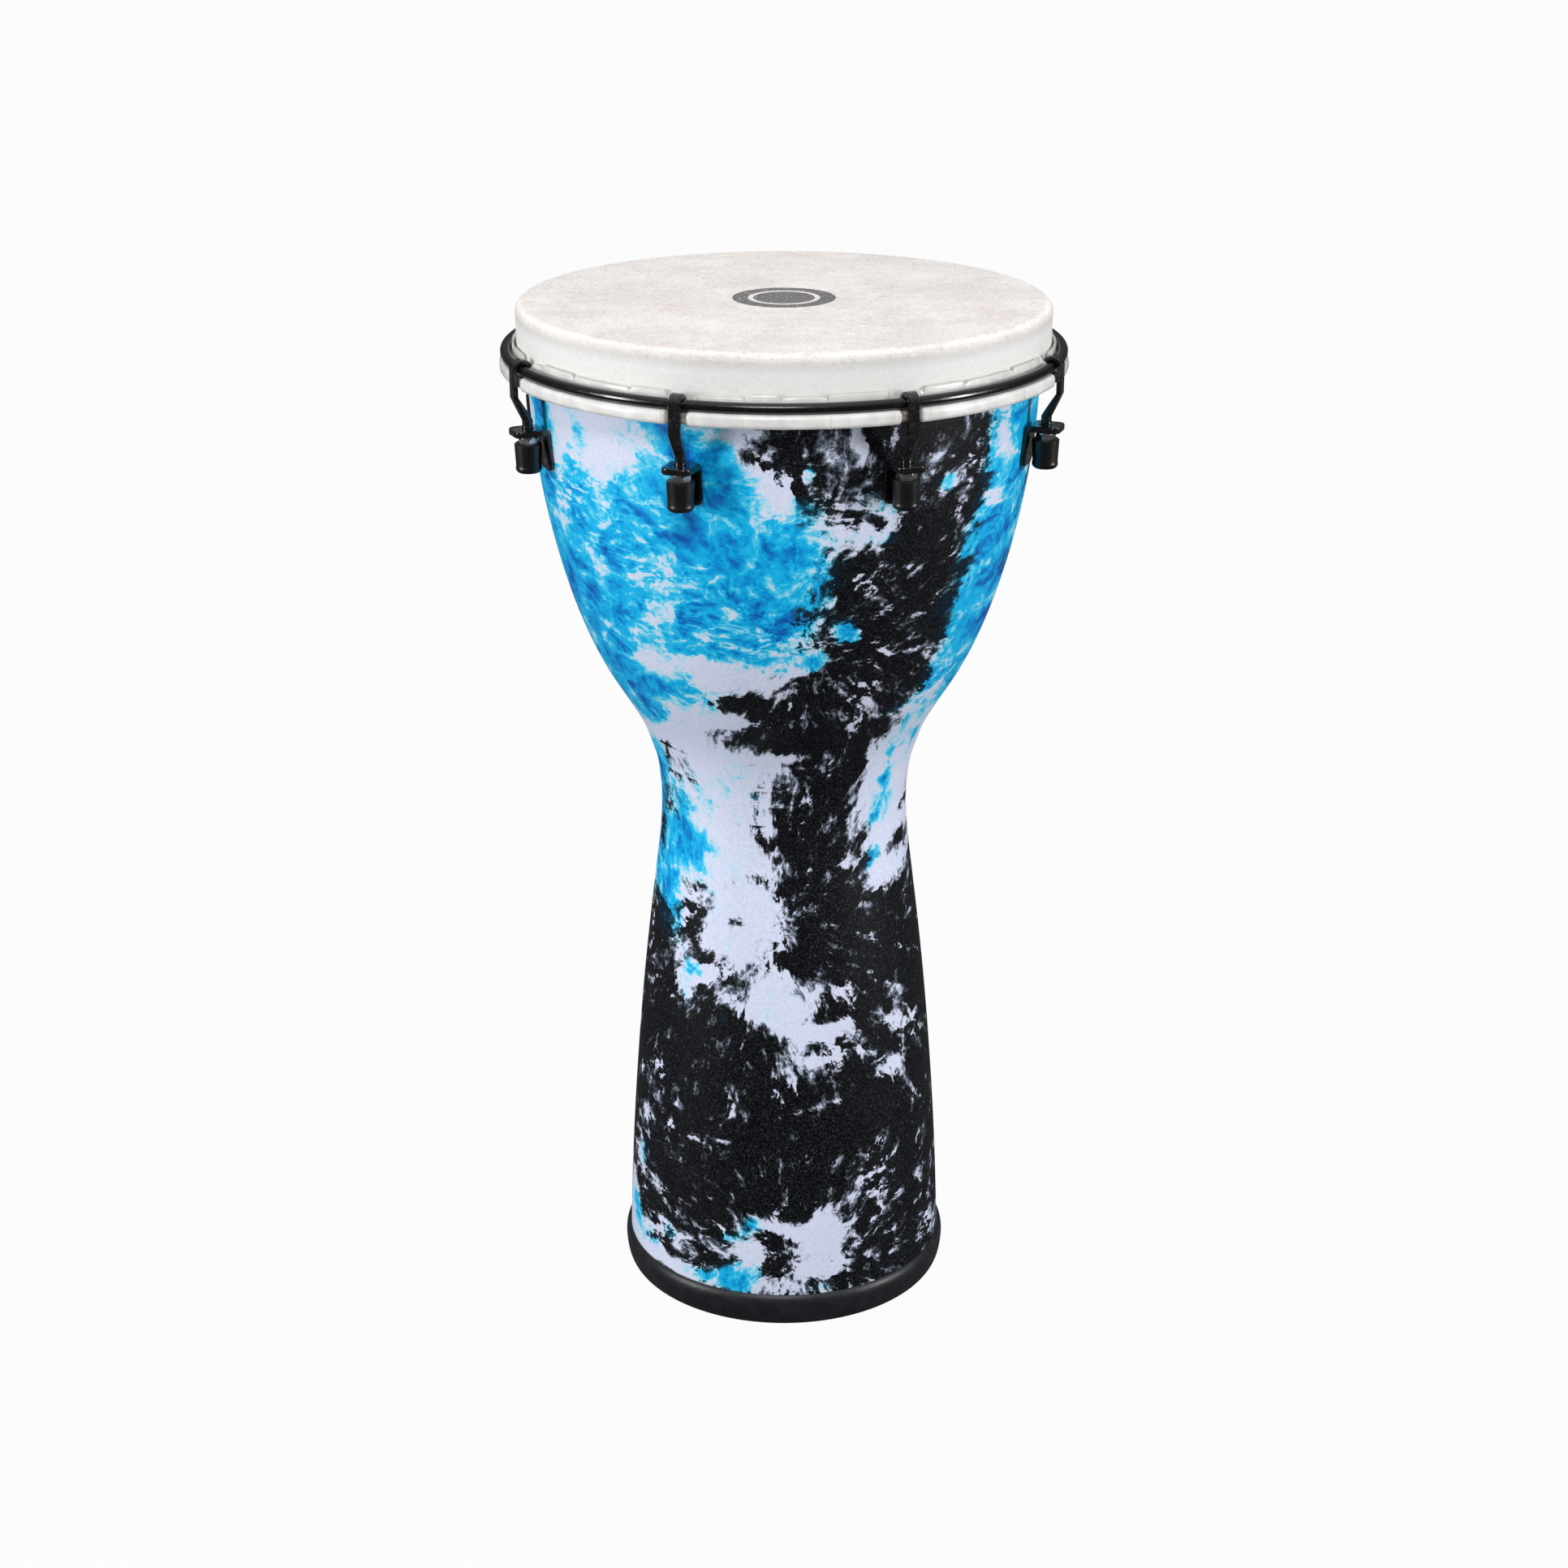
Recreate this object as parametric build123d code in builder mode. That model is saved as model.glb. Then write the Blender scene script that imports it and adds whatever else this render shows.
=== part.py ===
from build123d import *

import math
import os

# Goblet drum (djembe) with a mechanically tuned synthetic head.
#
# All lengths are millimetres.  The origin is the centre of the foot where it meets the floor,
# +Z points up through the head.  Lug 1 stands just right of the -Y direction and the others
# follow it anticlockwise, seen from above.

os.makedirs("parts", exist_ok=True)

# ---- whole drum --------------------------------------------------------------------------
TOTAL_HEIGHT = 622.0
LUG_COUNT = 8
LUG_PITCH = 360 / LUG_COUNT
FIRST_LUG_ANGLE = -67.5
FIT_GAP = 0.05
EPSILON = 0.01
# every hole is drilled with a length that passes right through its piece
DRILL_LENGTH = 24.0
BISECTION_STEPS = 40

# ---- shell -------------------------------------------------------------------------------
# the goblet's outline, as (radius, height) over the printed fabric: foot, stem, waist, bowl
STEM_OUTLINE = [(99.8, 0.0), (97.9, 60.0), (92.8, 140.0), (85.2, 220.0), (79.0, 270.0)]
WAIST_OUTLINE = [(74.9, 322.0), (78.7, 350.0), (88.9, 375.0), (104.2, 400.0)]
BOWL_OUTLINE = [(118.8, 430.0), (132.0, 470.0), (142.7, 520.0), (147.3, 560.0), (148.8, 606.0)]
OUTLINE_END_TANGENTS = [(-0.02, 1), (0.01, 1)]
INSET_OUTLINE_STEPS = 20
WRAP_THICKNESS = 0.5
WRAP_TOP_HEIGHT = 604.0
SHELL_WALL = 6.0
SHELL_BOTTOM_HEIGHT = 4.0
BEARING_EDGE_ROUNDING = 2.6
RIM_OVERLAP = 1.0

# ---- rubber foot -------------------------------------------------------------------------
FOOT_TOP_HEIGHT = 21.0
FOOT_MAX_RADIUS = 102.3
FOOT_BULGE_HEIGHT = 9.5
FOOT_CONTACT_RADIUS = 96.0
FOOT_INNER_RADIUS = 89.6
FOOT_INNER_LIP_HEIGHT = 12.0
FOOT_INNER_CHAMFER = 2.5
FOOT_LIP_THICKNESS = 0.6
FOOT_LIP_CHAMFER = 1.0
FOOT_HEEL_INSET = 1.6
FOOT_HEEL_HEIGHT = 2.6
FOOT_END_TANGENTS = [(0.8, -0.6), (-1, 0)]

# ---- drumhead ----------------------------------------------------------------------------
HEAD_FILM = 0.6
HEAD_RADIUS = 154.2
HEAD_EDGE_ROUNDING = 5.0
COLLAR_BOTTOM_HEIGHT = 584.0

# ---- flesh hoop and its white covering ---------------------------------------------------
HOOP_CENTRE_HEIGHT = 587.6
HOOP_COVER_WIDTH = 9.0
HOOP_COVER_HEIGHT = 8.0
HOOP_COVER_ROUNDING = 2.8
HOOP_COVER_CENTRE_RADIUS = 159.5
HOOP_CORE_WIDTH = 6.6
HOOP_CORE_HEIGHT = 6.0
HOOP_CORE_ROUNDING = 1.5
HOOP_NOTCH_WIDTH = 10.0
COVER_LIP_THICKNESS = 1.5
COVER_LIP_TOP_HEIGHT = 600.8

# ---- crown ring and hooks ----------------------------------------------------------------
CROWN_RING_RADIUS = 160.5
CROWN_RING_HEIGHT = 594.6
CROWN_WIRE_RADIUS = 3.0
HOOK_THICKNESS = 3.0
HOOK_WIDTH = 7.0
HOOK_EDGE_BEVEL = 0.7
HOOK_CURL_RADIUS = CROWN_WIRE_RADIUS + 0.1
HOOK_TIP_DROP = 1.5
HOOK_STRAP_BOTTOM_HEIGHT = 579.5
HOOK_BEND_BOTTOM_HEIGHT = 566.0
HOOK_BEND_THICKNESS = 4.8
HOOK_BEND_WIDTH = 6.7
HOOK_BEND_ROUNDING = 1.9
ROD_CIRCLE_RADIUS = 157.8
ROD_RADIUS = 3.0
ROD_END_HEIGHT = 545.0
ROD_END_CHAMFER = 0.6

# ---- lugs --------------------------------------------------------------------------------
LUG_WIDTH = 17.0
LUG_LEG_THICKNESS = 2.6
LUG_FLANGE_THICKNESS = 3.8
LUG_TOP_HEIGHT = 561.2
LUG_BOTTOM_HEIGHT = 536.5
LUG_REACH_RADIUS = 167.3
LUG_OUTER_BEND = 4.5
LUG_INNER_BEND = 1.5
LUG_CORNER_ROUNDING = 4.5
LUG_ROD_HOLE_RADIUS = 3.3
LUG_BOLT_HEIGHTS = (541.5, 552.0)

# ---- lug bolts, from inside the shell ----------------------------------------------------
BOLT_RADIUS = 2.5
BOLT_CLEARANCE_RADIUS = 2.75
BOLT_HEAD_RADIUS = 4.4
BOLT_HEAD_HEIGHT = 3.2
BOLT_SOCKET_FLATS = 3.0
BOLT_SOCKET_DEPTH = 1.8
BOLT_WASHER_RADIUS = 5.0
BOLT_WASHER_THICKNESS = 1.0
BOLT_SEAT_GAP = 0.25

# ---- tuning nuts, their washers and rubber caps ------------------------------------------
NUT_FLATS = 10.0
NUT_HEIGHT = 5.0
NUT_BEVEL_HEIGHT = 0.5
NUT_TOP_HEIGHT = 555.9
NUT_BORE_RADIUS = ROD_RADIUS + FIT_GAP
NUT_WASHER_RADIUS = 5.4
NUT_WASHER_BORE_RADIUS = 3.2
CAP_TOP_HEIGHT = 553.0
CAP_BOTTOM_HEIGHT = 536.3
CAP_TOP_RADIUS = 7.8
CAP_BOTTOM_RADIUS = 7.1
CAP_BEAD = 0.35
CAP_BEAD_HEIGHT = 538.6
CAP_FLOOR_HEIGHT = 538.8
CAP_BORE_RADIUS = 3.7
CAP_BEAD_RUN = 1.6
CAP_END_CHAMFER = 1.0
CAP_LIP_CHAMFER = 0.6
NUT_TURN_STEP = 23.0


def outline_curve(inset=0.0):
    """Spline through the goblet's outline, moved towards the axis by inset along its normal."""
    points = STEM_OUTLINE + WAIST_OUTLINE + BOWL_OUTLINE
    outside = Spline(*points, tangents=OUTLINE_END_TANGENTS)
    if inset == 0:
        return outside
    shifted = []
    for step in range(INSET_OUTLINE_STEPS + 1):
        share = step / INSET_OUTLINE_STEPS
        tangent = outside.tangent_at(share)
        place = outside.position_at(share)
        shifted.append((place.X - tangent.Y * inset, place.Y + tangent.X * inset))
    return Spline(*shifted, tangents=OUTLINE_END_TANGENTS)


def radius_at(curve, height):
    """Radius of an outline curve at one height, found by bisection along the curve."""
    low, high = 0.0, 1.0
    for _ in range(BISECTION_STEPS):
        middle = (low + high) / 2
        if curve.position_at(middle).Y < height:
            low = middle
        else:
            high = middle
    return curve.position_at(low).X


def lug_angle(index):
    return math.radians(FIRST_LUG_ANGLE + LUG_PITCH * index)


def radial_plane(angle):
    """Upright plane through the drum's axis: local x is the radius, local y the height."""
    return Plane(
        origin=(0, 0, 0),
        x_dir=(math.cos(angle), math.sin(angle), 0),
        z_dir=(math.sin(angle), -math.cos(angle), 0),
    )


def rod_plane(angle, height):
    """Level plane centred on a hook's rod, with local x pointing away from the drum's axis."""
    return Plane(
        origin=(ROD_CIRCLE_RADIUS * math.cos(angle), ROD_CIRCLE_RADIUS * math.sin(angle), height),
        x_dir=(math.cos(angle), math.sin(angle), 0),
        z_dir=(0, 0, 1),
    )


def rod_axis(angle):
    return Axis(origin=rod_plane(angle, 0).origin, direction=(0, 0, 1))


WRAP_OUTSIDE = outline_curve()
SHELL_OUTSIDE = outline_curve(WRAP_THICKNESS)
SHELL_INSIDE = outline_curve(WRAP_THICKNESS + SHELL_WALL)

# the lugs' legs lie flat on the bowl, on its tangent at their middle height
LEAN_SPAN = 10.0
LEG_MIDDLE_HEIGHT = (LUG_TOP_HEIGHT + LUG_BOTTOM_HEIGHT) / 2
LEG_MIDDLE_RADIUS = radius_at(WRAP_OUTSIDE, LEG_MIDDLE_HEIGHT) + FIT_GAP
LEG_TOP_RADIUS = radius_at(WRAP_OUTSIDE, LEG_MIDDLE_HEIGHT + LEAN_SPAN / 2)
LEG_BOTTOM_RADIUS = radius_at(WRAP_OUTSIDE, LEG_MIDDLE_HEIGHT - LEAN_SPAN / 2)
LEG_LEAN = (LEG_TOP_RADIUS - LEG_BOTTOM_RADIUS) / LEAN_SPAN
LEG_LEVEL_THICKNESS = LUG_LEG_THICKNESS * math.hypot(1, LEG_LEAN)


def leg_back_radius(height):
    return LEG_MIDDLE_RADIUS + LEG_LEAN * (height - LEG_MIDDLE_HEIGHT)


def bolt_plane(angle, height, depth):
    """Plane across a lug bolt, depth behind the leg's back face, facing out of the shell."""
    length = math.hypot(1, LEG_LEAN)
    outward, upward = 1 / length, -LEG_LEAN / length
    radius = leg_back_radius(height) - depth * outward
    return Plane(
        origin=(radius * math.cos(angle), radius * math.sin(angle), height - depth * upward),
        x_dir=(-math.sin(angle), math.cos(angle), 0),
        z_dir=(outward * math.cos(angle), outward * math.sin(angle), upward),
    )


def bolt_planes(depth):
    return [
        bolt_plane(lug_angle(index), height, depth)
        for index in range(LUG_COUNT)
        for height in LUG_BOLT_HEIGHTS
    ]


# ---- shell: one moulded goblet, open at both ends ----------------------------------------
with BuildPart() as shell:
    with BuildSketch(Plane.XZ):
        with BuildLine():
            add(SHELL_OUTSIDE)
            add(SHELL_INSIDE)
            Line(SHELL_OUTSIDE @ 0, SHELL_INSIDE @ 0)
            Line(SHELL_OUTSIDE @ 1, SHELL_INSIDE @ 1)
        make_face()
        # the bearing edge carries the wall up to the head
        rim_outside = (SHELL_OUTSIDE @ 1).X
        rim_inside = (SHELL_INSIDE @ 1).X
        rim_bottom = (SHELL_INSIDE @ 1).Y - RIM_OVERLAP
        rim_top = TOTAL_HEIGHT - HEAD_FILM - FIT_GAP
        with Locations(((rim_outside + rim_inside) / 2, (rim_top + rim_bottom) / 2)):
            Rectangle(rim_outside - rim_inside, rim_top - rim_bottom)
    revolve(axis=Axis.Z)
    fillet(shell.edges().filter_by(GeomType.CIRCLE).group_by(Axis.Z)[-1], BEARING_EDGE_ROUNDING)
    # the wall ends level where it stands in the foot
    split(bisect_by=Plane.XY.offset(SHELL_BOTTOM_HEIGHT), keep=Keep.TOP)
    with Locations(*bolt_planes(0)):
        Cylinder(BOLT_CLEARANCE_RADIUS, DRILL_LENGTH, mode=Mode.SUBTRACT)
shell.part.label = "shell"

# ---- printed fabric, laminated over the whole outside ------------------------------------
with BuildPart() as tie_dye_wrap:
    with BuildSketch(Plane.XZ):
        with BuildLine():
            add(WRAP_OUTSIDE)
            add(SHELL_OUTSIDE)
            Line(WRAP_OUTSIDE @ 0, SHELL_OUTSIDE @ 0)
            Line(WRAP_OUTSIDE @ 1, SHELL_OUTSIDE @ 1)
        make_face()
    revolve(axis=Axis.Z)
    split(bisect_by=Plane.XY.offset(SHELL_BOTTOM_HEIGHT), keep=Keep.TOP)
    split(bisect_by=Plane.XY.offset(WRAP_TOP_HEIGHT), keep=Keep.BOTTOM)
    with Locations(*bolt_planes(0)):
        Cylinder(BOLT_CLEARANCE_RADIUS, DRILL_LENGTH, mode=Mode.SUBTRACT)
tie_dye_wrap.part.label = "tie_dye_wrap"

# ---- rubber foot: a moulded channel pushed over the shell's lower edge -------------------
foot_lip_top = radius_at(WRAP_OUTSIDE, FOOT_TOP_HEIGHT) + FIT_GAP
foot_lip_bottom = radius_at(WRAP_OUTSIDE, SHELL_BOTTOM_HEIGHT) + FIT_GAP
foot_groove_inner = radius_at(SHELL_INSIDE, FOOT_INNER_LIP_HEIGHT) - 2 * FIT_GAP

with BuildPart() as foot_ring:
    with BuildSketch(Plane.XZ):
        with BuildLine():
            Polyline(
                (foot_lip_bottom, SHELL_BOTTOM_HEIGHT),
                (foot_lip_top, FOOT_TOP_HEIGHT),
                (foot_lip_top + FOOT_LIP_THICKNESS, FOOT_TOP_HEIGHT),
            )
            Spline(
                (foot_lip_top + FOOT_LIP_THICKNESS, FOOT_TOP_HEIGHT),
                (FOOT_MAX_RADIUS, FOOT_BULGE_HEIGHT),
                (FOOT_MAX_RADIUS - FOOT_HEEL_INSET, FOOT_HEEL_HEIGHT),
                (FOOT_CONTACT_RADIUS, 0),
                tangents=FOOT_END_TANGENTS,
            )
            Polyline(
                (FOOT_CONTACT_RADIUS, 0),
                (FOOT_INNER_RADIUS + FOOT_INNER_CHAMFER, 0),
                (FOOT_INNER_RADIUS, FOOT_INNER_CHAMFER),
                (FOOT_INNER_RADIUS, FOOT_INNER_LIP_HEIGHT - FOOT_LIP_CHAMFER),
                (FOOT_INNER_RADIUS + FOOT_LIP_CHAMFER, FOOT_INNER_LIP_HEIGHT),
                (foot_groove_inner, FOOT_INNER_LIP_HEIGHT),
                (foot_groove_inner, SHELL_BOTTOM_HEIGHT),
                (foot_lip_bottom, SHELL_BOTTOM_HEIGHT),
            )
        make_face()
    revolve(axis=Axis.Z)
foot_ring.part.label = "foot_ring"

# ---- drumhead: flat film, rounded edge and straight collar -------------------------------
with BuildPart() as drumhead:
    with BuildSketch(Plane.XZ):
        inner_radius = HEAD_RADIUS - HEAD_FILM
        inner_rounding = HEAD_EDGE_ROUNDING - HEAD_FILM
        flat_radius = HEAD_RADIUS - HEAD_EDGE_ROUNDING
        film_bottom = TOTAL_HEIGHT - HEAD_FILM
        with BuildLine():
            Polyline((0, film_bottom), (0, TOTAL_HEIGHT), (flat_radius, TOTAL_HEIGHT))
            JernArc((flat_radius, TOTAL_HEIGHT), (1, 0), HEAD_EDGE_ROUNDING, -90)
            Polyline(
                (HEAD_RADIUS, TOTAL_HEIGHT - HEAD_EDGE_ROUNDING),
                (HEAD_RADIUS, COLLAR_BOTTOM_HEIGHT),
                (inner_radius, COLLAR_BOTTOM_HEIGHT),
                (inner_radius, TOTAL_HEIGHT - HEAD_EDGE_ROUNDING),
            )
            JernArc((flat_radius, film_bottom), (1, 0), inner_rounding, -90)
            Line((flat_radius, film_bottom), (0, film_bottom))
        make_face()
    revolve(axis=Axis.Z)
drumhead.part.label = "drumhead"

# ---- flesh hoop: the steel core that the head's film is locked round ---------------------
with BuildPart() as flesh_hoop:
    with BuildSketch(Plane.XZ):
        with Locations((HOOP_COVER_CENTRE_RADIUS, HOOP_CENTRE_HEIGHT)):
            RectangleRounded(HOOP_CORE_WIDTH, HOOP_CORE_HEIGHT, HOOP_CORE_ROUNDING)
    revolve(axis=Axis.Z)
flesh_hoop.part.label = "flesh_hoop"

# ---- hoop cover: film folded over the hoop, open at each hook ----------------------------
cover_inner_radius = HOOP_COVER_CENTRE_RADIUS - HOOP_COVER_WIDTH / 2
notch_angle = math.degrees(HOOP_NOTCH_WIDTH / HOOP_COVER_CENTRE_RADIUS)
cover_arc = LUG_PITCH - notch_angle

with BuildPart() as hoop_cover:
    first_plane = Plane.XZ.rotated((0, 0, FIRST_LUG_ANGLE + notch_angle / 2))
    with BuildSketch(first_plane):
        with Locations((HOOP_COVER_CENTRE_RADIUS, HOOP_CENTRE_HEIGHT)):
            RectangleRounded(HOOP_COVER_WIDTH, HOOP_COVER_HEIGHT, HOOP_COVER_ROUNDING)
        lip_bottom = HOOP_CENTRE_HEIGHT
        with Locations((cover_inner_radius, lip_bottom)):
            Rectangle(
                COVER_LIP_THICKNESS,
                COVER_LIP_TOP_HEIGHT - lip_bottom,
                align=(Align.MIN, Align.MIN),
            )
        with Locations((HOOP_COVER_CENTRE_RADIUS, HOOP_CENTRE_HEIGHT)):
            RectangleRounded(HOOP_CORE_WIDTH, HOOP_CORE_HEIGHT, HOOP_CORE_ROUNDING, mode=Mode.SUBTRACT)
    revolve(axis=Axis.Z, revolution_arc=cover_arc)
    first_cover = hoop_cover.part
    for index in range(1, LUG_COUNT):
        add(first_cover.rotate(Axis.Z, LUG_PITCH * index))
hoop_cover.part.label = "hoop_cover"

# ---- crown ring: one round wire under all the hooks --------------------------------------
with BuildPart() as crown_ring:
    with Locations((0, 0, CROWN_RING_HEIGHT)):
        Torus(CROWN_RING_RADIUS, CROWN_WIRE_RADIUS)
crown_ring.part.label = "crown_ring"


def make_hook(index):
    """Forged hook: a flat strap curled over the crown ring, drawn down to a threaded rod."""
    angle = lug_angle(index)
    outer_curl = HOOK_CURL_RADIUS + HOOK_THICKNESS
    strap_inner = CROWN_RING_RADIUS + HOOK_CURL_RADIUS
    strap_middle = strap_inner + HOOK_THICKNESS / 2
    strap_height = CROWN_RING_HEIGHT - HOOK_STRAP_BOTTOM_HEIGHT
    with BuildPart() as hook:
        with BuildSketch(radial_plane(angle)):
            with Locations((CROWN_RING_RADIUS, CROWN_RING_HEIGHT)):
                Circle(outer_curl)
                Circle(HOOK_CURL_RADIUS, mode=Mode.SUBTRACT)
                Rectangle(
                    3 * outer_curl,
                    2 * outer_curl,
                    align=(Align.CENTER, Align.MAX),
                    mode=Mode.SUBTRACT,
                )
            with Locations((strap_middle, HOOK_STRAP_BOTTOM_HEIGHT)):
                Rectangle(HOOK_THICKNESS, strap_height, align=(Align.CENTER, Align.MIN))
            tip_middle = CROWN_RING_RADIUS - HOOK_CURL_RADIUS - HOOK_THICKNESS / 2
            with Locations((tip_middle, CROWN_RING_HEIGHT)):
                Rectangle(HOOK_THICKNESS, HOOK_TIP_DROP, align=(Align.CENTER, Align.MAX))
        extrude(amount=HOOK_WIDTH / 2, both=True)
        side_faces = hook.faces().filter_by(radial_plane(angle)).sort_by(Axis.Z)
        chamfer(side_faces.edges(), HOOK_EDGE_BEVEL)
        # the strap bends in towards the rod and turns from flat to round on the way
        bend_depth = HOOK_STRAP_BOTTOM_HEIGHT - HOOK_BEND_BOTTOM_HEIGHT
        offset_in = strap_middle - ROD_CIRCLE_RADIUS
        sections = [
            (0.0, offset_in, HOOK_THICKNESS, HOOK_WIDTH, HOOK_EDGE_BEVEL),
            (0.5, offset_in / 2, HOOK_BEND_THICKNESS, HOOK_BEND_WIDTH, HOOK_BEND_ROUNDING),
            (1.0, 0.0, 2 * ROD_RADIUS, 2 * ROD_RADIUS, ROD_RADIUS - EPSILON),
        ]
        for share, reach, thickness, width, rounding in sections:
            height = HOOK_STRAP_BOTTOM_HEIGHT - share * bend_depth
            with BuildSketch(rod_plane(angle, height)):
                with Locations((reach, 0)):
                    RectangleRounded(thickness, width, rounding)
        loft()
        rod_length = HOOK_BEND_BOTTOM_HEIGHT - ROD_END_HEIGHT
        with BuildSketch(rod_plane(angle, ROD_END_HEIGHT)):
            Circle(ROD_RADIUS)
        extrude(amount=rod_length)
        chamfer(hook.edges().filter_by(GeomType.CIRCLE).sort_by(Axis.Z)[0], ROD_END_CHAMFER)
    hook.part.label = f"hook_{index + 1}"
    return hook.part


def make_lug(index):
    """Bent steel bracket: a leg bolted flat to the bowl and a flange that the rod pulls on."""
    angle = lug_angle(index)
    flange_bottom = LUG_TOP_HEIGHT - LUG_FLANGE_THICKNESS
    with BuildPart() as lug:
        with BuildSketch(radial_plane(angle)):
            with BuildLine():
                Polyline(
                    (leg_back_radius(LUG_BOTTOM_HEIGHT), LUG_BOTTOM_HEIGHT),
                    (leg_back_radius(LUG_TOP_HEIGHT), LUG_TOP_HEIGHT),
                    (LUG_REACH_RADIUS, LUG_TOP_HEIGHT),
                    (LUG_REACH_RADIUS, flange_bottom),
                    (leg_back_radius(flange_bottom) + LEG_LEVEL_THICKNESS, flange_bottom),
                    (leg_back_radius(LUG_BOTTOM_HEIGHT) + LEG_LEVEL_THICKNESS, LUG_BOTTOM_HEIGHT),
                    close=True,
                )
            make_face()
        extrude(amount=LUG_WIDTH / 2, both=True)
        across = Axis(origin=(0, 0, 0), direction=radial_plane(angle).z_dir)
        cross_edges = lug.edges().filter_by(across)
        outer_bend = cross_edges.sort_by(
            lambda edge: abs(edge.center().Z - LUG_TOP_HEIGHT)
            + abs(math.hypot(edge.center().X, edge.center().Y) - leg_back_radius(LUG_TOP_HEIGHT))
        )[0]
        inner_bend = cross_edges.sort_by(
            lambda edge: abs(edge.center().Z - flange_bottom)
            + abs(
                math.hypot(edge.center().X, edge.center().Y)
                - leg_back_radius(flange_bottom)
                - LEG_LEVEL_THICKNESS
            )
        )[0]
        fillet(outer_bend, LUG_OUTER_BEND)
        fillet(inner_bend, LUG_INNER_BEND)
        # the flange's and the leg's free corners are rounded
        tip_edges = lug.edges().filter_by(Axis.Z).sort_by(
            lambda edge: -math.hypot(edge.center().X, edge.center().Y)
        )[:2]
        fillet(tip_edges, LUG_CORNER_ROUNDING)
        leg_corners = [
            edge
            for edge in lug.edges().filter_by(GeomType.LINE)
            if abs(edge.center().Z - LUG_BOTTOM_HEIGHT) < EPSILON
            and edge.length < 2 * LUG_LEG_THICKNESS
        ]
        fillet(leg_corners, LUG_CORNER_ROUNDING)
        with Locations(rod_plane(angle, LUG_TOP_HEIGHT)):
            Cylinder(LUG_ROD_HOLE_RADIUS, DRILL_LENGTH, mode=Mode.SUBTRACT)
        with Locations(*[bolt_plane(angle, height, 0) for height in LUG_BOLT_HEIGHTS]):
            Cylinder(BOLT_RADIUS + FIT_GAP, DRILL_LENGTH, mode=Mode.SUBTRACT)
    lug.part.label = f"lug_{index + 1}"
    return lug.part


def make_nut(index):
    """Hexagonal tuning nut with bevelled corners, threaded on the rod under the flange."""
    angle = lug_angle(index)
    centre = ROD_CIRCLE_RADIUS
    bottom = NUT_TOP_HEIGHT - NUT_HEIGHT
    corner_radius = NUT_FLATS / 2 / math.cos(math.pi / 6)
    with BuildPart() as nut:
        with BuildSketch(rod_plane(angle, bottom)):
            RegularPolygon(corner_radius, 6, rotation=NUT_TURN_STEP * index)
            Circle(NUT_BORE_RADIUS, mode=Mode.SUBTRACT)
        extrude(amount=NUT_HEIGHT)
        with BuildSketch(radial_plane(angle)):
            with BuildLine():
                Polyline(
                    (centre, bottom),
                    (centre + NUT_FLATS / 2, bottom),
                    (centre + corner_radius + EPSILON, bottom + NUT_BEVEL_HEIGHT),
                    (centre + corner_radius + EPSILON, NUT_TOP_HEIGHT - NUT_BEVEL_HEIGHT),
                    (centre + NUT_FLATS / 2, NUT_TOP_HEIGHT),
                    (centre, NUT_TOP_HEIGHT),
                    close=True,
                )
            make_face()
        revolve(axis=rod_axis(angle), mode=Mode.INTERSECT)
    nut.part.label = f"nut_{index + 1}"
    return nut.part


def make_nut_washer(index):
    """Plain washer that turns with the nut under the flange."""
    top = LUG_TOP_HEIGHT - LUG_FLANGE_THICKNESS - FIT_GAP
    with BuildPart() as washer:
        with BuildSketch(rod_plane(lug_angle(index), NUT_TOP_HEIGHT)):
            Circle(NUT_WASHER_RADIUS)
            Circle(NUT_WASHER_BORE_RADIUS, mode=Mode.SUBTRACT)
        extrude(amount=top - NUT_TOP_HEIGHT)
    washer.part.label = f"nut_washer_{index + 1}"
    return washer.part


def make_nut_cap(index):
    """Rubber cap over the nut and the rod's end: tapered, with a bead near its closed end."""
    angle = lug_angle(index)
    centre = ROD_CIRCLE_RADIUS
    corner_radius = NUT_FLATS / 2 / math.cos(math.pi / 6)
    nut_bottom = NUT_TOP_HEIGHT - NUT_HEIGHT
    with BuildPart() as cap:
        with BuildSketch(radial_plane(angle)):
            with BuildLine():
                Polyline(
                    (centre, CAP_TOP_HEIGHT),
                    (centre, CAP_BOTTOM_HEIGHT),
                    (centre + CAP_BOTTOM_RADIUS - CAP_END_CHAMFER, CAP_BOTTOM_HEIGHT),
                    (centre + CAP_BOTTOM_RADIUS, CAP_BOTTOM_HEIGHT + CAP_END_CHAMFER),
                    (centre + CAP_BOTTOM_RADIUS + CAP_BEAD, CAP_BEAD_HEIGHT),
                    (centre + CAP_BOTTOM_RADIUS + CAP_BEAD / 4, CAP_BEAD_HEIGHT + CAP_BEAD_RUN),
                    (centre + CAP_TOP_RADIUS, CAP_TOP_HEIGHT - CAP_LIP_CHAMFER),
                    (centre + CAP_TOP_RADIUS - CAP_LIP_CHAMFER, CAP_TOP_HEIGHT),
                    close=True,
                )
            make_face()
        revolve(axis=rod_axis(angle))
        with BuildSketch(rod_plane(angle, CAP_FLOOR_HEIGHT)):
            Circle(CAP_BORE_RADIUS)
        extrude(amount=CAP_TOP_HEIGHT - CAP_FLOOR_HEIGHT, mode=Mode.SUBTRACT)
        with BuildSketch(rod_plane(angle, nut_bottom)):
            RegularPolygon(corner_radius, 6, rotation=NUT_TURN_STEP * index)
        extrude(amount=CAP_TOP_HEIGHT - nut_bottom, mode=Mode.SUBTRACT)
    cap.part.label = f"nut_cap_{index + 1}"
    return cap.part


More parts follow.
